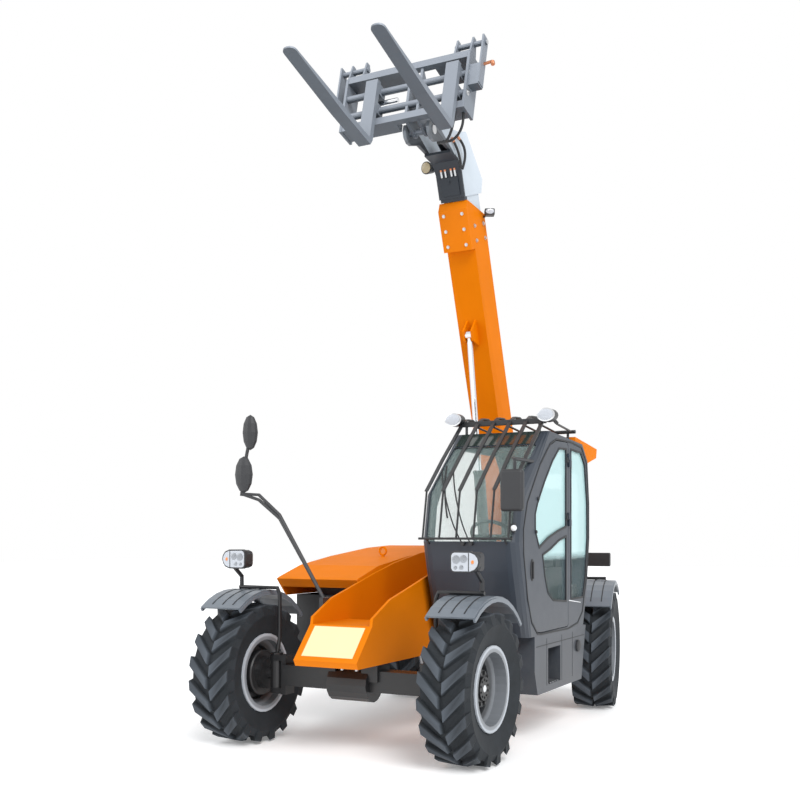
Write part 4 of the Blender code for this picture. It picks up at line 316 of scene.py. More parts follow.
class Finish:
    """New material on a Principled shader, with short calls for its nodes."""

    def __init__(self, name):
        self.material = bpy.data.materials.new(name)
        self.material.use_nodes = True
        self.tree = self.material.node_tree
        self.place = self.node("TexCoord", {}, "Object")

    def node(self, kind, sockets, output, **settings):
        """Output of a new node."""
        return add_node(self.tree, kind, sockets, **settings).outputs[output]

    def noise(self, scale, detail=2.0, roughness=0.5):
        return self.node("TexNoise", {"Vector": self.place, "Scale": scale, "Detail": detail,
                                      "Roughness": roughness}, "Fac")

    def mix(self, factor, base, colour):
        """Mix from a base, a socket or a colour, to a plain colour."""
        if not isinstance(base, bpy.types.NodeSocket):
            base = (*base, 1.0)
        return self.node("Mix", {"Factor": factor, "A": base, "B": (*colour, 1.0)}, "Result",
                         data_type='RGBA')

    def span(self, value, low, high, to_low=0.0, to_high=1.0):
        """Value carried from one range to another and held at its ends."""
        return self.node("MapRange", {"Value": value, "From Min": low, "From Max": high,
                                      "To Min": to_low, "To Max": to_high}, "Result")

    def calc(self, operation, first, second):
        return self.node("Math", {0: first, 1: second}, "Value", operation=operation)

    def vector(self, operation, first, second, output="Vector"):
        return self.node("VectorMath", {0: first, 1: second}, output, operation=operation)

    def height(self):
        return self.node("SeparateXYZ", {"Vector": self.place}, "Z")

    def ramp(self, value, steps):
        """Colour along a value, from (position, colour) steps."""
        node = add_node(self.tree, "ValToRGB", {"Fac": value})
        elements = node.color_ramp.elements
        while len(elements) < len(steps):
            elements.new(0.5)
        for element, (position, colour) in zip(elements, steps):
            element.position = position
            element.color = (*colour, 1.0)
        return node.outputs["Color"]

    def bump(self, height, strength, distance):
        return self.node("Bump", {"Height": height, "Strength": strength,
                                  "Distance": distance}, "Normal")

    def done(self, sockets):
        """Set the shader's own sockets and give the material."""
        set_sockets(self.tree, self.tree.nodes["Principled BSDF"], sockets)
        return self.material


def scaled(colour, share, rise=0.0):
    return [min(1.0, c * share + rise) for c in colour]


def below_planes(look, base, colour, planes):
    """Second colour where a place is below every plane."""
    highest = None
    for normal, distance in planes:
        along = look.vector('DOT_PRODUCT', look.place, normal, "Value")
        over = look.calc('SUBTRACT', along, distance)
        highest = over if highest is None else look.calc('MAXIMUM', highest, over)
    return look.mix(look.calc('LESS_THAN', highest, 0.0), base, colour)


def painted_light_toward(look, base, colour, direction):
    """Painted highlight: a second colour on the faces that are turned toward a direction, as if lit
    from there.
    """
    normal = look.node("NewGeometry", {}, "Normal")
    facing = look.vector('DOT_PRODUCT', normal, Vector(direction).normalized(), "Value")
    return look.mix(look.span(facing, 0.25, 1.0), base, colour)


def axle_radius(look, centre, axis):
    """Distance of a place from a wheel's axle."""
    offset = look.vector('SUBTRACT', look.place, centre)
    along = look.vector('PROJECT', offset, axis)
    return look.vector('DISTANCE', offset, along, "Value")


def painted(name, colour, roughness, dirt=0.0, wear=0.15, coat=0.0, shine=0.5, painted_shade=None,
            lit=None):
    """Sprayed paint: faint colour drift, fine orange peel, dust low down and worn edges.

    Below one or more planes, each a normal and a distance, a second colour can be painted as shade.
    A lighter colour can be painted on the faces turned toward a direction, a painted highlight.
    """
    look = Finish(name)
    base = look.mix(look.noise(3.0, 4.0), scaled(colour, 0.90), scaled(colour, 1.07))
    if painted_shade is not None:
        base = below_planes(look, base, *painted_shade)
    if lit is not None:
        base = painted_light_toward(look, base, *lit)
    speck = look.noise(14.0, 8.0, 0.7)
    low = look.span(look.height(), DUST_TOP, DUST_FULL, 0.0, dirt)
    dusty = look.mix(look.calc('MULTIPLY', low, speck), base, DUST_COLOUR)
    edge = look.span(look.node("NewGeometry", {}, "Pointiness"), 0.56, 0.66, 0.0, wear)
    return look.done({
        "Base Color": look.mix(edge, dusty, scaled(colour, 1.5, 0.05)),
        "Roughness": look.span(speck, 0.0, 1.0, max(0.05, roughness - 0.06),
                               min(1.0, roughness + 0.10)),
        "Normal": look.bump(look.noise(260.0), 0.06, 0.001),
        "Specular IOR Level": shine,
        "Coat Weight": coat,
        "Coat Roughness": 0.12,
    })


def grained(name, colour, roughness, scale=420.0, strength=0.25):
    """Moulded plastic or rubber with a fine grain."""
    look = Finish(name)
    grain = look.node("TexVoronoi", {"Vector": look.place, "Scale": scale}, "Distance")
    return look.done({
        "Base Color": look.mix(look.noise(6.0, 6.0), scaled(colour, 0.88),
                               scaled(colour, 1.12, 0.004)),
        "Roughness": roughness,
        "Normal": look.bump(grain, strength, 0.0006),
    })


def tyre_rubber(name, centre, axis):
    """Dusty tyre rubber: dark flanks and grooves, paler on the worn tops of the lugs."""
    look = Finish(name)
    flank = look.ramp(look.noise(9.0, 9.0, 0.65),
                      ((0.36, (0.005, 0.008, 0.011)), (0.68, (0.011, 0.015, 0.020))))
    worn = look.span(axle_radius(look, centre, axis), LUG_FOOT, LUG_TOP)
    return look.done({
        "Base Color": look.mix(worn, flank, (0.060, 0.072, 0.088)),
        "Roughness": 0.78,
        "Normal": look.bump(look.noise(160.0, 4.0), 0.22, 0.0012),
    })


def rim_paint(name, colour, centre, axis):
    """Silver rim paint, at full colour on the lip; the greyer barrel and the dark disc in its depth
    are painted shade.
    """
    look = Finish(name)
    # Painted shade: the rim's colour darkens toward the axle
    steps = ((0.205, 0.13), (0.216, 0.36), (0.250, 0.52), (0.256, 1.0))
    return look.done({
        "Base Color": look.ramp(axle_radius(look, centre, axis),
                                [(radius, scaled(colour, share)) for radius, share in steps]),
        "Roughness": 0.36,
    })


def glass(name, tint, cover, painted_sky_cover=None):
    """Tinted safety glass, faintly uneven; a top cover paints pale sky into the glass above a height.
    """
    look = Finish(name)
    if painted_sky_cover is not None:
        cover = look.span(look.height(), *PAINTED_SKY_HEIGHTS, cover, painted_sky_cover)
    return look.done({"Base Color": look.mix(look.noise(2.2), scaled(tint, 0.94), tint),
                      "Roughness": 0.04, "Alpha": cover})


def metal(name, colour, roughness):
    look = Finish(name)
    noise = look.noise(24.0, 6.0)
    return look.done({
        "Base Color": look.mix(noise, scaled(colour, 0.85), colour),
        "Roughness": look.span(noise, 0.0, 1.0, roughness * 0.7, min(1.0, roughness * 1.5)),
        "Metallic": 1.0,
    })


def prism_lens(name, colour):
    """Lamp lens with a fine pressed pattern."""
    look = Finish(name)
    ribs = look.node("TexWave", {"Vector": look.place, "Scale": 40.0}, "Fac")
    return look.done({
        "Base Color": look.mix(ribs, scaled(colour, 0.8), colour),
        "Roughness": 0.12,
        "Normal": look.bump(ribs, 0.5, 0.001),
        "Coat Weight": 0.6,
    })


def screen_back(height):
    """How far behind the front axle the windscreen's face is at a height."""
    face = [(CAB_BACK + u * CAB_LENGTH, CAB_FOOT + v * CAB_HEIGHT) for u, v in CAB_FACE]
    for (b0, z0), (b1, z1) in zip(face, face[1:]):
        if z0 <= height <= z1:
            return b0 + (b1 - b0) * (height - z0) / (z1 - z0)
    return face[-1][0]


def add_disc(shape, place, toward, wide, tall, thick, steps=28):
    """Slightly domed elliptic disc on a surface; tall runs as near upright as it can."""
    toward = Vector(toward).normalized()
    side = Vector((0, 0, 1)).cross(toward).normalized()
    up = toward.cross(side)
    place = Vector(place)
    rings = []
    for share, rise in ((1.0, 0.0), (1.0, 0.6), (0.75, 0.9), (0.4, 1.0)):
        rings.append([shape.verts.new(
            place + side * (wide * share * math.cos(2 * math.pi * i / steps))
            + up * (tall * share * math.sin(2 * math.pi * i / steps)) + toward * thick * rise)
            for i in range(steps)])
    shape.faces.new(rings[0][::-1])
    shape.faces.new(rings[-1])
    for a, b in zip(rings, rings[1:]):
        for i in range(steps):
            shape.faces.new((a[i - 1], a[i], b[i], b[i - 1]))


def add_cushion(shape, low, high, place=None, power=5.0, cuts=9):
    """Crowned, rounded cushion that fills a box."""
    low, high = Vector(low), Vector(high)
    before = set(shape.verts)
    made = bmesh.ops.create_cube(shape, size=1.0)
    edges = list({edge for vert in made["verts"] for edge in vert.link_edges})
    bmesh.ops.subdivide_edges(shape, edges=edges, cuts=cuts, use_grid_fill=True)
    for vert in shape.verts:
        if vert in before:
            continue
        reach = max(abs(value) for value in vert.co)
        length = sum(abs(value) ** power for value in vert.co) ** (1 / power)
        spot = vert.co * (reach / length)
        vert.co = Vector(((low[i] + high[i]) / 2 + spot[i] * (high[i] - low[i])
                          for i in range(3)))
        if place is not None:
            vert.co = place @ vert.co


def fit(name, word, body, shape, angle=math.radians(40)):
    """Make a fitting from its shape, shade it and hang it on a body."""
    return dress(shaded(mesh_piece(name, shape), angle), finish(word), body)


FINISHES = {}


def finish(name):
    return FINISHES[name]


def head_planes():
    """Planes below which the boom's head is painted dark, a painted shade on its underside, as
    (normal, distance) pairs.
    """
    planes = []
    for through, leads in (((3.181, -0.225), (0.0, 1.0)), ((3.181, -0.236), (1.02, 1.0))):
        origin = boom_point(0, 0)
        normal = ((boom_point(1, 0) - origin) * leads[0] + (boom_point(0, 1) - origin) * leads[1])
        planes.append((normal, normal.dot(boom_point(*through))))
    return planes


# Which finish each of the machine's solids takes
NODE_FINISHES = {
    "orange": ("chassis_frame", "boom_outer", "roof_rear_cover", "hood_lid"),
    "slate": ("rear_counterweight", "cab_shell", "cab_door", "side_tank"),
    "fender": [f"{wheel}_fender" for wheel, *_ in WHEELS],
    "pale": ("boom_inner",),
    "fork": ("carriage_frame", "fork_left", "fork_right"),
    "neck": ("boom_neck",),
    "black": ["front_axle", "rear_axle", "engine_bay", "lift_barrel", "tilt_barrel"]
    + [f"{wheel}_{part}" for wheel, *_ in WHEELS for part in ("knuckle", "hub")],
    "iron": ("engine_block",),
    "chrome": ("lift_rod", "tilt_rod"),
    "glass": ("windscreen", "rear_glass", "right_glass"),
    "side_glass": ("quarter_glass", "door_glass_upper", "door_glass_lower"),
    "roof_glass": ("roof_glass",),
    "plastic": ("left_mirror", "right_mirror", "dashboard", "rear_light_beam",
                "front_left_lamp", "front_right_lamp"),
    "guard": ("cab_guard",),
    "vinyl": ("seat",),
}


# Settings

def colour_setting(name, description, default):
    return bpy.props.FloatVectorProperty(name=name, description=description, subtype='COLOR',
                                         size=3, min=0.0, max=1.0, default=default)


def length_setting(name, description, default, **limits):
    return bpy.props.FloatProperty(name=name, description=description, subtype='DISTANCE',
                                   unit='LENGTH', default=default, **limits)


class TelehandlerColours(bpy.types.PropertyGroup):
    """Colours of the machine's paints and plastics."""
    body_paint: colour_setting("Body paint", "Colour of the boom, hood and chassis",
                               (0.67, 0.170, 0.0))
    cab_paint: colour_setting("Cab paint", "Colour of the cab, door and side tank",
                              (0.036, 0.045, 0.060))
    # The head's pale grey is its paint made lighter to carry the sun's highlight: partly a painted
    # highlight
    head_paint_and_highlight: colour_setting("Boom head paint", "Colour of the inner boom and its head",
                               (0.50, 0.56, 0.62))
    # The fork colour is the forks' grey paint as it looks in shade: painted shade
    fork_shade_paint: colour_setting("Fork paint", "Colour of the forks and their carriage",
                               (0.070, 0.086, 0.105))
    rim_paint: colour_setting("Rim paint", "Colour of the wheel rims", (0.42, 0.45, 0.49))
    window_tint: colour_setting("Window tint", "Colour of the cab's glass",
                                (0.56, 0.72, 0.69))
    side_tint: colour_setting("Side tint", "Colour of the glass in the door and beside it",
                              (0.60, 0.86, 0.87))


class TelehandlerSizes(bpy.types.PropertyGroup):
    """Sizes of the fittings that dress the machine."""
    wheel_nut: length_setting("Wheel nut", "Half width of a wheel nut across its corners",
                              0.013, min=0.005, max=0.03)
    wheel_nut_count: bpy.props.IntProperty(
        name="Wheel nuts", description="Nuts on each wheel", default=10, min=4, max=14)
    hose_radius: length_setting("Hose radius", "Outer radius of the hydraulic hoses",
                                0.010, min=0.004, max=0.02)
    seal_width: length_setting("Seal width", "Width of the rubber seals round the cab's glass",
                               0.016, min=0.005, max=0.04)


class TelehandlerStudio(bpy.types.PropertyGroup):
    """Camera, lamps and floor."""
    camera_x: length_setting("Camera X", "Camera's distance to the machine's left", 3.5263)
    camera_ahead: length_setting("Camera ahead", "Camera's distance ahead of the front axle",
                                 6.0222)
    camera_height: length_setting("Camera height", "Camera's height above the floor", 1.4447)
    camera_yaw: bpy.props.FloatProperty(
        name="Camera yaw", description="Turn of the level camera about the vertical",
        subtype='ANGLE', unit='ROTATION', default=0.4864)
    lens: bpy.props.FloatProperty(
        name="Lens", description="Focal length on a 36 mm sensor", default=47.126)
    shift: bpy.props.FloatProperty(
        name="Vertical shift", description="Camera's vertical shift", default=0.1686)
    sun_power: bpy.props.FloatProperty(
        name="Key strength", description="Strength of the soft key lamp", default=2.3)
    sky_power: bpy.props.FloatProperty(
        name="Sky strength", description="Strength of the even sky light", default=0.75)


class TELEHANDLER_OT_studio(bpy.types.Operator):
    """Set up the camera, the soft lamps, the pale floor and the sky."""
    bl_idname = "telehandler.studio"
    bl_label = "Build studio"

    def execute(self, context):
        studio = context.scene.telehandler_studio
        camera = bpy.data.cameras.new("studio_camera")
        camera.lens = studio.lens
        camera.sensor_width = 36.0
        camera.shift_y = studio.shift
        holder = bpy.data.objects.new("studio_camera", camera)
        holder.location = (studio.camera_x, FRONT_AXLE_Y - studio.camera_ahead,
                           studio.camera_height)
        holder.rotation_euler = (math.pi / 2, 0.0, studio.camera_yaw)
        context.scene.collection.objects.link(holder)
        context.scene.camera = holder

        shape = bmesh.new()
        add_box(shape, (-40, -40, -0.05), (40, 40, 0.0))
        floor = mesh_piece("studio_floor", shape)
        look = Finish("studio_floor")
        floor.data.materials.append(look.done({
            "Base Color": look.mix(look.noise(0.8), (0.95, 0.95, 0.95), (0.97, 0.97, 0.97)),
            "Roughness": 0.9,
            "Emission Color": (1.0, 1.0, 1.0, 1.0),
            "Emission Strength": 0.16,
        }))

        middle = Vector((0, 0, 1.5))
        for name, place, power, size in (
                ("studio_key", (6.0, -6.0, 8.5), studio.sun_power, 30),
                ("studio_fill", (-8.0, -5.0, 6.0), studio.sun_power * 0.35, 50)):
            lamp = bpy.data.lights.new(name, 'SUN')
            lamp.energy = power
            lamp.angle = math.radians(size)
            thing = bpy.data.objects.new(name, lamp)
            thing.location = place
            toward = middle - Vector(place)
            thing.rotation_euler = toward.to_track_quat('-Z', 'Y').to_euler()
            context.scene.collection.objects.link(thing)

        world = bpy.data.worlds.new("studio_sky")
        context.scene.world = world
        world.use_nodes = True
        tree = world.node_tree
        tree.nodes.clear()
        sky = add_node(tree, "Background", {"Color": (0.96, 0.98, 1.0, 1.0),
                                            "Strength": studio.sky_power})
        seen = add_node(tree, "Background", {"Color": (1.0, 1.0, 1.0, 1.0), "Strength": 1.0})
        path = add_node(tree, "LightPath", {})
        direct = path.outputs["Is Camera Ray"]
        for ray in ("Is Transmission Ray", "Is Glossy Ray"):
            direct = add_node(tree, "Math", {0: direct, 1: path.outputs[ray]},
                              operation='MAXIMUM').outputs["Value"]
        mix = add_node(tree, "MixShader", {"Fac": direct, 1: sky.outputs["Background"],
                                           2: seen.outputs["Background"]})
        add_node(tree, "OutputWorld", {"Surface": mix.outputs["Shader"]})
        context.scene.view_settings.view_transform = 'Standard'
        return {'FINISHED'}


class TELEHANDLER_OT_finishes(bpy.types.Operator):
    """Mix the finishes and paint the machine's solids with them."""
    bl_idname = "telehandler.finishes"
    bl_label = "Paint solids"

    def execute(self, context):
        colours = context.scene.telehandler_colours
        body, cab = tuple(colours.body_paint), tuple(colours.cab_paint)
        FINISHES.update({
            "orange": painted("body_orange_paint", body, 0.50, dirt=0.06, shine=0.04),
            "slate": painted("cab_slate_paint", cab, 0.40, dirt=0.20, coat=0.08, shine=0.35),
            "fender": grained("fender_plastic", (0.135, 0.156, 0.182), 0.34),
            # Inner boom: pale grey partly a painted highlight; its neck, and its head below the
            # planes, take painted shade
            "pale": painted("boom_head_lit_and_shaded", tuple(colours.head_paint_and_highlight), 0.40, wear=0.3,
                            painted_shade=(UNDERSIDE_SHADE, head_planes())),
            "neck": painted("neck_in_shade", UNDERSIDE_SHADE, 0.42, shine=0.3),
            # Forks: the dark colour is painted shade, and the lighter colour on the faces turned
            # toward the light is a painted highlight
            "fork": painted("forks_lit_and_shaded", tuple(colours.fork_shade_paint), 0.42, wear=0.3, shine=0.3,
                            lit=((0.33, 0.36, 0.41), (0.62, -0.75, 0.28))),
            "black": painted("axle_black_paint", (0.008, 0.009, 0.011), 0.36, dirt=0.06,
                             wear=0.1),
            "iron": painted("engine_iron", (0.10, 0.10, 0.11), 0.7),
            "chrome": metal("rod_chrome", (0.78, 0.79, 0.81), 0.10),
            "zinc": metal("bolt_zinc", (0.62, 0.63, 0.64), 0.35),
            "glass": glass("cab_glass", tuple(colours.window_tint), 0.14),
            # Side glass: pale sky painted into the panes above a height
            "side_glass": glass("side_glass", tuple(colours.side_tint), 0.05, 0.66),
            "roof_glass": glass("roof_glass", (0.10, 0.12, 0.09), 0.30),
            # Dark green gloss of the band atop the windscreen: a painted reflection
            "header": painted("screen_painted_reflection", (0.020, 0.032, 0.028), 0.08, coat=0.5),
            "mirror": metal("mirror_face", (0.75, 0.78, 0.80), 0.05),
            "plastic": grained("black_plastic", (0.022, 0.023, 0.026), 0.5),
            "rubber": grained("seal_rubber", (0.016, 0.017, 0.019), 0.62, 700.0, 0.15),
            "guard": painted("guard_black_paint", (0.018, 0.019, 0.021), 0.4),
            "vinyl": grained("seat_vinyl", (0.030, 0.031, 0.034), 0.6, 260.0, 0.4),
            "lens": prism_lens("clear_lens", (0.52, 0.55, 0.60)),
            "warm_lens": prism_lens("warm_lens", (0.42, 0.34, 0.20)),
            "reflector": metal("lamp_reflector", (0.36, 0.38, 0.41), 0.25),
            "copper": metal("copper_fitting", (0.62, 0.27, 0.15), 0.35),
            "amber": prism_lens("amber_lens", (0.80, 0.24, 0.04)),
            "red": prism_lens("red_lens", (0.55, 0.02, 0.015)),
            "white": painted("white_trim", (0.72, 0.74, 0.76), 0.4),
            # Darker orange of the boom's fold line: painted shade
            "body_shadow": painted("fold_line_shade", (0.30, 0.07, 0.0), 0.6, shine=0.1),
            # Pale cream on the nose's slope: a painted highlight
            "nose": painted("nose_painted_highlight", (0.92, 0.60, 0.34), 0.5, shine=0.3),
        })
        for name, _, turn in WHEELS:
            centre, axis = tyre_centre(name), (math.cos(turn), math.sin(turn), 0.0)
            FINISHES[f"{name}_tyre"] = tyre_rubber(f"{name}_rubber", centre, axis)
            FINISHES[f"{name}_rim"] = rim_paint(f"{name}_rim_paint", tuple(colours.rim_paint),
                                                centre, axis)
        own = {name: (name,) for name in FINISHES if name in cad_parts}
        for word, names in (NODE_FINISHES | own).items():
            for name in names:
                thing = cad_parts[name]
                thing.data.materials.clear()
                thing.data.materials.append(finish(word))
        return {'FINISHED'}


def bolt_circle(shape, place, count, radius, height, size, start=0.0):
    """Bolts in a circle about local Z, facing along it."""
    ahead = place.to_3x3() @ Vector((0, 0, 1))
    for i in range(count):
        angle = 2 * math.pi * (i + start) / count
        add_bolt(shape, place @ Vector((radius * math.cos(angle), radius * math.sin(angle),
                                        height)), ahead, size)


class TELEHANDLER_OT_wheel_fittings(bpy.types.Operator):
    """Wheel nuts, hub caps and valve stems of the four wheels."""
    bl_idname = "telehandler.wheel_fittings"
    bl_label = "Fit wheels"

    def execute(self, context):
        sizes = context.scene.telehandler_sizes
        for name, hand, turn in WHEELS:
            body = f"{name}_wheel"
            facing = Matrix.Rotation(turn if hand > 0 else turn + math.pi, 4, 'Z')
            place = (Matrix.Translation(tyre_centre(name)) @ facing
                     @ Matrix.Rotation(math.pi / 2, 4, 'Y'))
            nuts, bolts, stem = bmesh.new(), bmesh.new(), bmesh.new()
            bolt_circle(nuts, place, sizes.wheel_nut_count, 0.098, 0.065, sizes.wheel_nut, 0.5)
            add_turned(nuts, ((0.0752, 0.0460), (0.0752, 0.0655), (0.114, 0.0655),
                              (0.1185, 0.0610), (0.1185, 0.0460)), place, 36)
            fit(f"{name}_wheel_nuts", "black", body, nuts)
            bolt_circle(bolts, place, sizes.wheel_nut_count, 0.056, 0.0848,
                        sizes.wheel_nut * 0.5)
            fit(f"{name}_hub_bolts", "black", body, bolts)
            for piece, word, steps, profile in (
                    ("rim_lip", f"{name}_rim", 48, ((0.258, 0.1290), (0.262, 0.1405),
                                                    (0.268, 0.1425), (0.2715, 0.1400))),
                    ("hub_cap", "white", 28, ((0.0, 0.0905), (0.016, 0.0900),
                                              (0.022, 0.0855), (0.022, 0.0845)))):
                shape = bmesh.new()
                add_turned(shape, profile, place, steps)
                fit(f"{name}_{piece}", word, body, shape)
            foot, tip = place @ Vector((0.196, 0.0, -0.010)), place @ Vector((0.178, 0.0, 0.030))
            add_rod(stem, foot, tip, 0.005, 10)
            add_rod(stem, tip, tip + (tip - foot).normalized() * 0.012, 0.0065, 10)
            fit(f"{name}_valve", "rubber", body, stem)
        return {'FINISHED'}


class TELEHANDLER_OT_boom_fittings(bpy.types.Operator):
    """Collar bolts, painted shade in the fold line, pin caps, hoses and lamp of the boom and its
    head.
    """
    bl_idname = "telehandler.boom_fittings"
    bl_label = "Fit boom"

    def execute(self, context):
        body, head = "boom_outer_body", "boom_inner_body"
        down = boom_point(0, -1) - boom_point(0, 0)
        # Bolts on the collar's sides and underside
        shape = bmesh.new()
        for hand in (-1, 1):
            x = hand * COLLAR_SIDE
            for s, t in ((2.575, -0.135), (2.575, 0.050), (2.690, -0.135), (2.690, 0.050)):
                add_bolt(shape, boom_point(s, t, x), (hand, 0, 0), 0.012)
        for s in (2.56, 2.68, 2.80):
            for x in (-0.08, 0.08):
                add_bolt(shape, boom_point(s, -0.2535, x), down, 0.010)
        fit("boom_collar_bolts", "zinc", body, shape)

        # Dark strip along each side of the outer boom: painted shade in its fold line
        shape = bmesh.new()
        for x in (-BOOM_SIDE, BOOM_SIDE):
            corners = [boom_point(s, t, x) for s, t in ((0.10, 0.043), (2.50, 0.043),
                                                        (2.50, 0.047), (0.10, 0.047))]
            add_prism(shape, [(p.y, p.z) for p in corners], x - 0.0006, x + 0.0006)
        fit("boom_fold_shade_line", "body_shadow", body, shape)

        # Caps on the pins at the boom's foot and head
        shape = bmesh.new()
        for hand in (1, -1):
            place = boom_point(0.0, 0.0, hand * 0.175)
            add_disc(shape, place, (hand, 0, 0), 0.050, 0.050, 0.010)
            add_bolt(shape, place + Vector((hand * 0.008, 0, 0)), (hand, 0, 0), 0.012)
        fit("boom_pivot_caps", "zinc", "chassis", shape)

        shape = bmesh.new()
        pin = fork_point(-0.245, 0.145)
        for hand in (1, -1):
            add_disc(shape, pin + Vector((hand * 0.1105, 0, 0)), (hand, 0, 0), 0.034, 0.034, 0.010)
        fit("head_pin_caps", "zinc", head, shape)

        # Hose stubs under the neck
        stubs, tips = bmesh.new(), bmesh.new()
        for x in (-0.055, -0.020, 0.030, 0.062):
            add_rod(stubs, boom_point(3.090, -0.232, x), boom_point(3.135, -0.236, x), 0.009, 14)
            add_rod(tips, boom_point(3.135, -0.236, x), boom_point(3.150, -0.237, x), 0.010, 14)
        fit("neck_stubs", "zinc", head, stubs)
        fit("neck_stub_tips", "copper", head, tips)

        # Cover and skirt under the neck
        cover, skirt = bmesh.new(), bmesh.new()
        for shape, stations, rises, half in (
                (cover, (2.945, 3.085), (-0.236, -0.222), 0.078),
                (skirt, (2.9005, 2.9245), (-0.214, -0.166), 0.104)):
            corners = [boom_point(s, t) for s, t in (
                (stations[0], rises[1]), (stations[1], rises[1]),
                (stations[1], rises[0]), (stations[0], rises[0]))]
            add_prism(shape, [(p.y, p.z) for p in corners], -half, half)
        add_bolt(cover, boom_point(3.050, -0.236), down, 0.010)
        soften(fit("neck_cover", "neck", head, cover), 0.003)
        fit("neck_skirt", "neck", head, skirt)

        # Work lamp at the boom's head
        shape = bmesh.new()
        face = boom_point(3.187, -0.250, -0.172)
        add_rod(shape, face, face + Vector((0.014, 0.085, 0.016)), 0.050, 28, 0.034)
        add_rod(shape, face + Vector((0.010, 0.060, 0.010)), boom_point(3.140, -0.150, -0.111),
                0.010, 12)
        soften(fit("head_lamp_housing", "plastic", head, shape), 0.004)
        shape = bmesh.new()
        add_disc(shape, face, (-0.165, -1.0, -0.19), 0.041, 0.041, 0.008)
        fit("head_lamp_lens", "warm_lens", head, shape)

        # Work lamp on the collar
        shape = bmesh.new()
        low = boom_point(2.765, 0.060, 0.186)
        add_box(shape, (-0.040, -0.040, -0.026), (0.040, 0.030, 0.026),
                Matrix.Translation(low) @ Matrix.Rotation(0.5, 4, 'Z'))
        add_rod(shape, low, Vector((BOOM_SIDE, low.y + 0.030, low.z - 0.020)), 0.009, 10)
        soften(fit("boom_lamp_housing", "plastic", body, shape), 0.006)
        shape = bmesh.new()
        turned = Matrix.Rotation(0.5, 3, 'Z')
        add_disc(shape, low + turned @ Vector((0, -0.0402, 0)), turned @ Vector((0, -1, 0)),
                 0.033, 0.020, 0.005)
        fit("boom_lamp_lens", "lens", body, shape)

        # Gland and pipes of the lift cylinder
        base, eye = Vector((0, aft(2.30), 0.70)), boom_point(1.843, -0.26)
        along = (eye - base).normalized()
        shape = bmesh.new()
        add_rod(shape, base + along * 1.282, base + along * 1.306, 0.053, 28)
        fit("lift_gland", "black", "lift_barrel_body", shape)
        for i, x in enumerate((-0.022, 0.022)):
            start = base + along * 0.16 + Vector((x, 0.052, 0))
            hose(f"lift_pipe_{i}", [start, start + along * 0.30, start + along * (0.55 + i * 0.5),
                                    base + along * (0.60 + i * 0.5) + Vector((x, 0.046, 0))],
                 0.006, finish("zinc"), "lift_barrel_body")
        return {'FINISHED'}


class TELEHANDLER_OT_carriage_fittings(bpy.types.Operator):
    """Washers, caps, latch handle, hoses and nuts of the fork carriage."""
    bl_idname = "telehandler.carriage_fittings"
    bl_label = "Fit carriage"

    def execute(self, context):
        sizes = context.scene.telehandler_sizes
        body = "fork_carriage_body"
        # Washers and bolts at the shafts' ends
        shape = bmesh.new()
        for x, toward in ((CARRIAGE_LEFT, 1), (CARRIAGE_RIGHT, -1)):
            for rise in SHAFT_RISES:
                add_disc(shape, fork_point(-0.090, rise, x), (toward, 0, 0), 0.024, 0.024, 0.004)
                add_bolt(shape, fork_point(-0.090, rise, x + toward * 0.004), (toward, 0, 0), 0.010)
            add_disc(shape, fork_point(-0.117, 0.696, x + toward * 0.097), (toward, 0, 0),
                     0.018, 0.018, 0.005)
        fit("carriage_washers", "zinc", body, shape)

        # Cranked handle of the latch
        shape = bmesh.new()
        turn = fork_turn()
        root, elbow, end = [turn @ Vector((CARRIAGE_LEFT + out, -0.130, rise))
                            for out, rise in ((0.070, 0.520), (0.150, 0.530), (0.158, 0.500))]
        add_rod(shape, root, elbow, 0.011, 14)
        add_rod(shape, elbow, end, 0.016, 14)
        soften(fit("latch_handle", "copper", body, shape), 0.004)

        # Side shift cylinder
        shape = bmesh.new()
        near, middle, far = [fork_point(-0.112, 0.360, x) for x in (-0.150, -0.330, -0.420)]
        add_rod(shape, near, middle, 0.020, 20)
        add_rod(shape, middle, far, 0.010, 16)
        fit("shift_cylinder", "chrome", body, shape)

        # Hoses of the carriage and the boom's head
        for i, points in enumerate((
                ((0.350, -0.100, 0.150), (0.330, -0.130, 0.070), (0.300, -0.160, -0.010),
                 (0.240, -0.200, -0.030), (0.190, -0.230, 0.010)),
                ((0.400, -0.120, 0.170), (0.405, -0.150, 0.090), (0.370, -0.180, 0.010),
                 (0.290, -0.210, -0.020), (0.200, -0.250, 0.030)))):
            hose(f"carriage_hose_{i}", [fork_point(reach, rise, x) for x, reach, rise in points],
                 sizes.hose_radius, finish("rubber"), body)
        sleeves = bmesh.new()
        for i, points in enumerate((
                ((3.336, -0.320, 0.125), (3.290, -0.300, 0.135), (3.240, -0.275, 0.135),
                 (3.180, -0.255, 0.130), (3.140, -0.245, 0.122)),
                ((3.350, -0.215, 0.130), (3.310, -0.180, 0.142), (3.250, -0.165, 0.145),
                 (3.190, -0.190, 0.142), (3.130, -0.230, 0.126)))):
            line = [boom_point(*point) for point in points]
            hose(f"head_hose_{i}", line, sizes.hose_radius, finish("rubber"), "boom_inner_body")
            add_rod(sleeves, line[0], line[0] + (line[0] - line[1]).normalized() * 0.035,
                    sizes.hose_radius * 1.1, 14)
        fit("head_hose_sleeves", "copper", "boom_inner_body", sleeves)

        # Bolts of the fork stops
        shape = bmesh.new()
        ahead = fork_point(1, 0) - fork_point(0, 0)
        for x in (0.332, -0.332):
            for rise in SHAFT_RISES:
                add_bolt(shape, fork_point(-0.0225, rise + 0.052, x), ahead, 0.008)
        fit("carriage_stops", "zinc", body, shape)
        return {'FINISHED'}


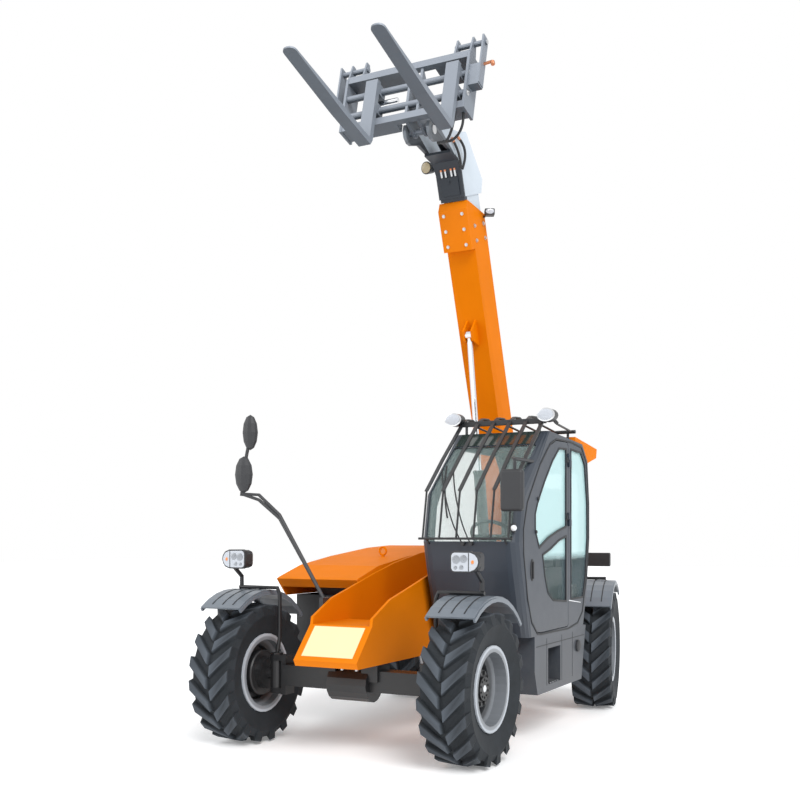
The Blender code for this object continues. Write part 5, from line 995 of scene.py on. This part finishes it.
class TELEHANDLER_OT_cab_fittings(bpy.types.Operator):
    """Seals, hinges, latches, handle, wipers and roof lamps of the cab."""
    bl_idname = "telehandler.cab_fittings"
    bl_label = "Fit cab"

    def execute(self, context):
        wide = context.scene.telehandler_sizes.seal_width
        # Seals round the panes
        for name, shares, body in (("upper_seal", UPPER_WINDOW, "cab_door_body"),
                                   ("lower_seal", LOWER_WINDOW, "cab_door_body"),
                                   ("quarter_seal", QUARTER_WINDOW, "chassis")):
            loop = cab_points(shares)
            shape = bmesh.new()
            add_ring(shape, offset_outline(loop, wide * 0.55), offset_outline(loop, -0.006),
                     CAB_SIDE - 0.002, CAB_SIDE + 0.003)
            fit(name, "rubber", body, shape)
        # Seal in the seam round the door
        loop = cab_points(DOOR_SEAM)
        shape = bmesh.new()
        add_ring(shape, offset_outline(loop, 0.006 + wide * 0.75), offset_outline(loop, 0.0065),
                 CAB_SIDE - 0.002, CAB_SIDE + 0.0035)
        fit("door_seam_seal", "rubber", "chassis", shape)

        # Hinges, latches and handle recess
        shape = bmesh.new()
        for back, z, radius in ((1.438, 2.000, 0.022), (1.438, 1.575, 0.022),
                                (0.822, 1.694, 0.013), (0.780, 1.465, 0.013)):
            add_disc(shape, (CAB_SIDE, aft(back), z), (1, 0, 0), radius, radius, 0.012)
        add_disc(shape, (CAB_SIDE, aft(0.712), 1.205), (1, 0, 0), 0.036, 0.076, 0.004)
        fit("door_hardware", "rubber", "cab_door_body", shape)
        # Door handle
        shape = bmesh.new()
        add_box(shape, (CAB_SIDE + 0.003, aft(0.706), 1.145), (CAB_SIDE + 0.014, aft(0.722), 1.262))
        soften(fit("door_handle", "plastic", "cab_door_body", shape), 0.004)
        # Pale trim below the rear pane
        shape = bmesh.new()
        add_prism(shape, [(aft(b), z) for b, z in ((1.483, 0.953), (1.753, 0.924),
                                                   (1.753, 0.929), (1.483, 0.959))],
                  CAB_SIDE - 0.001, CAB_SIDE + 0.002)
        fit("sill_line", "white", "chassis", shape)

        # Latch knob by the front pillar, on its bracket
        shape = bmesh.new()
        knob = Vector((CAB_SIDE - 0.010, aft(0.400), 1.490))
        add_ball(shape, knob, 0.020, 20, 12)
        fit("pillar_knob", "white", "chassis", shape)
        shape = bmesh.new()
        add_rod(shape, knob + Vector((-0.004, 0.015, 0)), (CAB_SIDE - 0.030, aft(0.452), 1.490),
                0.008, 12)
        add_box(shape, (CAB_SIDE - 0.050, aft(0.438), 1.460), (CAB_SIDE - 0.018, aft(0.456), 1.520))
        soften(fit("knob_bracket", "plastic", "chassis", shape), 0.003)

        # Wipers
        for i, (foot, tip) in enumerate(((0.600, 0.330), (0.660, 0.420))):
            heights = (1.385, 1.480, 1.640, 1.790, 1.905)
            line = []
            for j, z in enumerate(heights):
                x = foot + (tip - foot) * j / (len(heights) - 1)
                line.append(Vector((x, aft(screen_back(z) - 0.022), z)))
            hose(f"wiper_arm_{i}", line, 0.005, finish("rubber"), "chassis")
        shape = bmesh.new()
        for foot in (0.600, 0.660):
            add_rod(shape, (foot, aft(screen_back(1.395)) + 0.008, 1.385),
                    (foot, aft(screen_back(1.395)) - 0.026, 1.385), 0.014, 18)
        fit("wiper_pivots", "plastic", "chassis", shape)
        blade = []
        for j, z in enumerate((1.560, 1.700, 1.820, 1.930)):
            blade.append(Vector((0.470 - 0.040 * j, aft(screen_back(z) - 0.012), z)))
        hose("wiper_blade", blade, 0.006, finish("rubber"), "chassis")

        # Roof lamps
        lens, ring = bmesh.new(), bmesh.new()
        for x in (0.265, 0.985):
            face = Vector((x, aft(0.980), 2.293))
            add_disc(ring, face + Vector((0, 0.002, 0)), (0, -1, 0), 0.0665, 0.0485, 0.008, 36)
            add_disc(lens, face - Vector((0, 0.005, 0)), (0, -1, 0), 0.056, 0.039, 0.012, 36)
        fit("roof_lamp_rings", "chrome", "chassis", ring)
        fit("roof_lamp_lenses", "lens", "chassis", lens)

        # Mirrors' faces
        shape = bmesh.new()
        add_disc(shape, (0.985 - 0.072 + 0.084, aft(0.386), 1.741), (0, 1, 0), 0.050, 0.115, 0.003)
        fit("left_mirror_face", "mirror", "chassis", shape)
        shape = bmesh.new()
        for lean, rise, across, tall in ((0.020, 0.135, 0.075, 0.130),
                                         (0.075, 0.430, 0.062, 0.125)):
            add_disc(shape, (-0.925 + lean, aft(0.026), 1.735 + rise), (0, 1, 0), across * 0.72,
                     tall * 0.80, 0.004)
        fit("right_mirror_faces", "mirror", "chassis", shape)

        # Seat and side consoles
        mid = 0.625
        shape = bmesh.new()
        add_cushion(shape, (mid - 0.225, aft(1.190), 1.185), (mid + 0.225, aft(1.600), 1.275))
        fit("seat_cushion", "vinyl", "chassis", shape)
        shape = bmesh.new()
        lean = (Matrix.Translation((mid, aft(1.668), 1.500))
                @ Matrix.Rotation(-math.atan2(0.125, 0.640), 4, 'X'))
        add_cushion(shape, (-0.200, -0.060, -0.235), (0.200, 0.030, 0.310), lean)
        fit("seat_back_cushion", "vinyl", "chassis", shape)
        shape = bmesh.new()
        for x in (mid - 0.080, mid + 0.080):
            add_cushion(shape, (x - 0.003, aft(1.215), 1.262), (x + 0.003, aft(1.575), 1.277))
        fit("seat_seams", "rubber", "chassis", shape)
        shape = bmesh.new()
        add_box(shape, (0.315, aft(1.060), 0.785), (0.372, aft(1.860), 1.150))
        add_box(shape, (0.880, aft(1.580), 0.785), (0.925, aft(1.860), 1.060))
        soften(fit("side_consoles", "vinyl", "chassis", shape), 0.015, 3)

        # Mirror shell
        shape = bmesh.new()
        add_box(shape, (0.902, aft(0.331), 1.598), (1.060, aft(0.389), 1.873))
        soften(fit("left_mirror_shell", "plastic", "chassis", shape), 0.022, 4)

        # Straps and header of the screen guard
        straps, header = bmesh.new(), bmesh.new()
        rail_back, rail_height = 1.060, 2.263
        for i in range(6):
            x = 0.310 + 0.126 * i
            path = [(screen_back(z) - 0.045, z) for z in (1.744, 1.978)]
            path.append((rail_back, rail_height))
            path += [(rail_back + back, rail_height + rise)
                     for back, rise in ((0.070, 0.035), (0.160, 0.040), (0.280, 0.0))]
            shifts = ((-0.010, 0.003), (-0.009, 0.006), (-0.008, 0.010), (-0.003, 0.010),
                      (0.003, 0.010), (0.005, 0.010))
            outline = [(aft(back), z) for back, z in path]
            outline += [(aft(back + out), z + up)
                        for (back, z), (out, up) in list(zip(path, shifts))[::-1]]
            add_prism(straps, outline, x - 0.013, x + 0.013)
        add_box(header, (0.290, aft(rail_back - 0.014), rail_height - 0.022),
                (0.960, aft(rail_back + 0.014), rail_height + 0.016))
        fit("guard_straps", "guard", "chassis", straps)
        soften(fit("guard_header", "guard", "chassis", header), 0.004)
        # Dark band across the top of the windscreen: a painted reflection
        shape = bmesh.new()
        band = cab_points(((0.306, 0.929), (0.392, 0.997)))
        add_prism(shape, band + [(y - 0.003, z + 0.003) for y, z in band[::-1]], 0.320, 0.930)
        fit("screen_reflection_band", "header", "chassis", shape)
        # Lever by the steering wheel
        shape = bmesh.new()
        add_rod(shape, (mid + 0.19, aft(0.800), 1.290), (mid + 0.21, aft(0.830), 1.400), 0.006, 10)
        add_ball(shape, (mid + 0.21, aft(0.830), 1.405), 0.014, 14, 8)
        fit("dash_lever", "plastic", "chassis", shape)
        return {'FINISHED'}


class TELEHANDLER_OT_body_fittings(bpy.types.Operator):
    """Head lamps, painted shade in the fender grooves, hood grille, lifting eye, tank seams and tail
    lamps.
    """
    bl_idname = "telehandler.body_fittings"
    bl_label = "Fit body"

    def execute(self, context):
        for name, hand, turn in WHEELS:
            back = 0.0 if name.startswith("front") else WHEELBASE
            place = (Matrix.Translation((hand * KINGPIN_X, aft(back), AXLE_HEIGHT))
                     @ Matrix.Rotation(turn, 4, 'Z'))
            body = f"{name}_knuckle_body"
            drum = place @ Matrix.Rotation(math.pi / 2, 4, 'Y')
            shape = bmesh.new()
            add_turned(shape, ((0.0, hand * 0.112), (0.150, hand * 0.112), (0.158, hand * 0.120),
                               (0.158, hand * 0.160), (0.0, hand * 0.160)), drum, 36)
            fit(f"{name}_drum", "black", body, shape)
            # Dark strips on each fender: painted shade in its grooves
            long_end, short_end = math.radians(48), math.radians(36)
            shape = bmesh.new()
            for offset in (-0.085, 0.0, 0.085):
                low, high = -short_end * 0.9, long_end * 0.9
                if name.startswith("rear"):
                    low, high = -high, -low
                outline = []
                for radius in (0.5785, 0.5806):
                    arc = [(radius * math.sin(low + (high - low) * i / 18),
                            radius * math.cos(low + (high - low) * i / 18)) for i in range(19)]
                    outline += arc if radius < 0.58 else arc[::-1]
                before = len(shape.verts)
                add_prism(shape, outline, hand * 0.235 + offset - 0.004,
                          hand * 0.235 + offset + 0.004)
                shape.verts.ensure_lookup_table()
                for vert in list(shape.verts)[before:]:
                    vert.co = place @ vert.co
            fit(f"{name}_fender_groove_shade", "rubber", body, shape)
            if not name.startswith("front"):
                continue
            centre = Vector((hand * 0.874, aft(-0.155), 1.2775))
            pod = [(-0.098, -0.040), (-0.098, 0.040), (-0.088, 0.060), (-0.070, 0.067),
                   (0.040, 0.066), (0.075, 0.052), (0.094, 0.026), (0.100, 0.0),
                   (0.094, -0.026), (0.075, -0.052), (0.040, -0.066), (-0.070, -0.067),
                   (-0.088, -0.060)]
            for piece, word, out, front, rear in (("lamp_rim", "plastic", 0.0, 0.006, 0.030),
                                                  ("lamp_lens", "lens", -0.009, 0.010, 0.004)):
                outline = [(centre.x + hand * x, centre.z + z)
                           for x, z in offset_outline(pod, out)]
                shape = bmesh.new()
                add_prism(shape, outline, centre.y - front, centre.y + rear, 1)
                soften(fit(f"{name}_{piece}", word, body, shape, math.radians(60)), 0.003, 3)
            shape = bmesh.new()
            for x, z, radius in ((-0.055, 0.016, 0.026), (-0.005, 0.020, 0.024),
                                 (-0.060, -0.034, 0.012), (-0.020, -0.032, 0.014)):
                add_disc(shape, centre + Vector((x * hand, -0.0102, z)), (0, -1, 0), radius,
                         radius, 0.003)
            fit(f"{name}_reflectors", "reflector", body, shape)
            shape = bmesh.new()
            add_box(shape, (centre.x + hand * 0.029 - 0.0025, centre.y - 0.0115, centre.z - 0.056),
                    (centre.x + hand * 0.029 + 0.0025, centre.y - 0.009, centre.z + 0.056))
            fit(f"{name}_lamp_divider", "rubber", body, shape)
            shape = bmesh.new()
            add_disc(shape, centre + Vector((0.056 * hand, -0.0102, 0)), (0, -1, 0), 0.009,
                     0.012, 0.004)
            fit(f"{name}_indicator", "amber", body, shape)

        # Grille slats and lifting eye of the hood
        shape = bmesh.new()
        for i in range(9):
            z = 1.060 + i * 0.014
            add_box(shape, (-0.9335, aft(0.98), z), (-0.9295, aft(1.72), z + 0.006))
        fit("hood_grille", "rubber", "hood_body", shape)
        shape = bmesh.new()
        ring = Matrix.Translation((-0.45, aft(1.209), 1.318)) @ Matrix.Rotation(math.pi / 2, 4, 'X')
        profile = [(0.030 + 0.008 * math.cos(a), 0.008 * math.sin(a))
                   for a in (2 * math.pi * i / 10 for i in range(11))]
        add_turned(shape, profile, ring, 24)
        bmesh.ops.remove_doubles(shape, verts=shape.verts, dist=0.00001)
        add_rod(shape, (-0.45, aft(1.209), 1.262), (-0.45, aft(1.209), 1.292), 0.012, 14)
        fit("hood_lifting_eye", "orange", "hood_body", shape)

        # Pale sheet on the nose's slope: a painted highlight
        shape = bmesh.new()
        slope = [(aft(-0.378 + 0.199 * share - 0.0018), 0.640 + 0.216 * share + 0.0016)
                 for share in (0.12, 0.95)]
        add_prism(shape, slope + [(y + 0.004, z - 0.004) for y, z in slope[::-1]], -0.190, 0.190)
        fit("nose_highlight_sheet", "nose", "chassis", shape)

        # Studs of the front axle's saddles
        shape = bmesh.new()
        for x in (-0.110, -0.055, 0.055, 0.110):
            for z in (0.420, 0.550):
                add_bolt(shape, (x, aft(-0.066), z), (0, -1, 0), 0.009)
        fit("front_axle_studs", "zinc", "chassis", shape)

        # Seams of the side tank
        shape = bmesh.new()
        for back in (1.000, 1.320, 1.560):
            add_box(shape, (CAB_SIDE - 0.0005, aft(back), 0.380),
                    (CAB_SIDE + 0.0012, aft(back + 0.004), 0.715))
        add_box(shape, (CAB_SIDE - 0.0005, aft(0.790), 0.668), (CAB_SIDE + 0.0012, aft(1.840), 0.673))
        fit("tank_seams", "rubber", "chassis", shape)
        # Treads of the step
        shape = bmesh.new()
        for i in range(5):
            y = aft(1.045 + i * 0.052)
            add_box(shape, (CAB_SIDE - 0.165, y, 0.3845), (CAB_SIDE - 0.010, y + 0.020, 0.3905))
        fit("step_treads", "zinc", "chassis", shape)
        # Fuel cap
        shape = bmesh.new()
        cap = Vector((CAB_SIDE, aft(1.680), 0.600))
        add_disc(shape, cap, (1, 0, 0), 0.045, 0.045, 0.022)
        fit("fuel_cap", "plastic", "chassis", shape)

        # Tail lamps and bolts
        red, amber, bolts = bmesh.new(), bmesh.new(), bmesh.new()
        for hand in (-1, 1):
            low, high = sorted((hand * 0.660, hand * 0.735))
            y = aft(3.0503 + 0.010) + 0.058
            add_box(red, (low, y - 0.004, 1.190), (high, y + 0.004, 1.260))
            low, high = sorted((hand * 0.738, hand * 0.800))
            add_box(amber, (low, y - 0.004, 1.190), (high, y + 0.004, 1.260))
            add_bolt(bolts, (hand * 0.120, aft(3.071), 1.225), (0, 1, 0), 0.012)
            for z in (0.640, 0.900):
                add_bolt(bolts, (hand * 0.300, aft(3.200), z), (0, 1, 0), 0.022)
        soften(fit("tail_lamp_lenses", "red", "chassis", red), 0.003)
        soften(fit("tail_indicators", "amber", "chassis", amber), 0.003)
        fit("tail_bolts", "zinc", "chassis", bolts)
        return {'FINISHED'}


class TelehandlerPanel(bpy.types.Panel):
    """Telehandler pieces in the 3D view's sidebar."""
    bl_idname = "VIEW3D_PT_telehandler"
    bl_label = "Telehandler"
    bl_space_type = 'VIEW_3D'
    bl_region_type = 'UI'
    bl_category = "Telehandler"

    def draw(self, context):
        layout = self.layout
        scene = context.scene
        for group, names in (
                (scene.telehandler_colours, ("body_paint", "cab_paint", "head_paint_and_highlight",
                                             "fork_shade_paint", "rim_paint", "window_tint",
                                             "side_tint")),
                (scene.telehandler_sizes, ("wheel_nut", "wheel_nut_count", "hose_radius",
                                           "seal_width")),
                (scene.telehandler_studio, ("camera_x", "camera_ahead", "camera_height",
                                            "camera_yaw", "lens", "shift", "sun_power",
                                            "sky_power"))):
            box = layout.box()
            for name in names:
                box.prop(group, name)
        for operator in OPERATORS:
            layout.operator(operator.bl_idname)


OPERATORS = (
    TELEHANDLER_OT_studio,
    TELEHANDLER_OT_finishes,
    TELEHANDLER_OT_wheel_fittings,
    TELEHANDLER_OT_boom_fittings,
    TELEHANDLER_OT_carriage_fittings,
    TELEHANDLER_OT_cab_fittings,
    TELEHANDLER_OT_body_fittings,
)
CLASSES = (TelehandlerColours, TelehandlerSizes, TelehandlerStudio, *OPERATORS,
           TelehandlerPanel)


def register():
    for thing in CLASSES:
        bpy.utils.register_class(thing)
    bpy.types.Scene.telehandler_colours = bpy.props.PointerProperty(type=TelehandlerColours)
    bpy.types.Scene.telehandler_sizes = bpy.props.PointerProperty(type=TelehandlerSizes)
    bpy.types.Scene.telehandler_studio = bpy.props.PointerProperty(type=TelehandlerStudio)


def unregister():
    del bpy.types.Scene.telehandler_studio
    del bpy.types.Scene.telehandler_sizes
    del bpy.types.Scene.telehandler_colours
    for thing in reversed(CLASSES):
        bpy.utils.unregister_class(thing)


def main():
    register()
    for operator in OPERATORS:
        group, name = operator.bl_idname.split(".")
        getattr(getattr(bpy.ops, group), name)()
    bpy.context.view_layer.update()


if __name__ == "__main__":
    main()
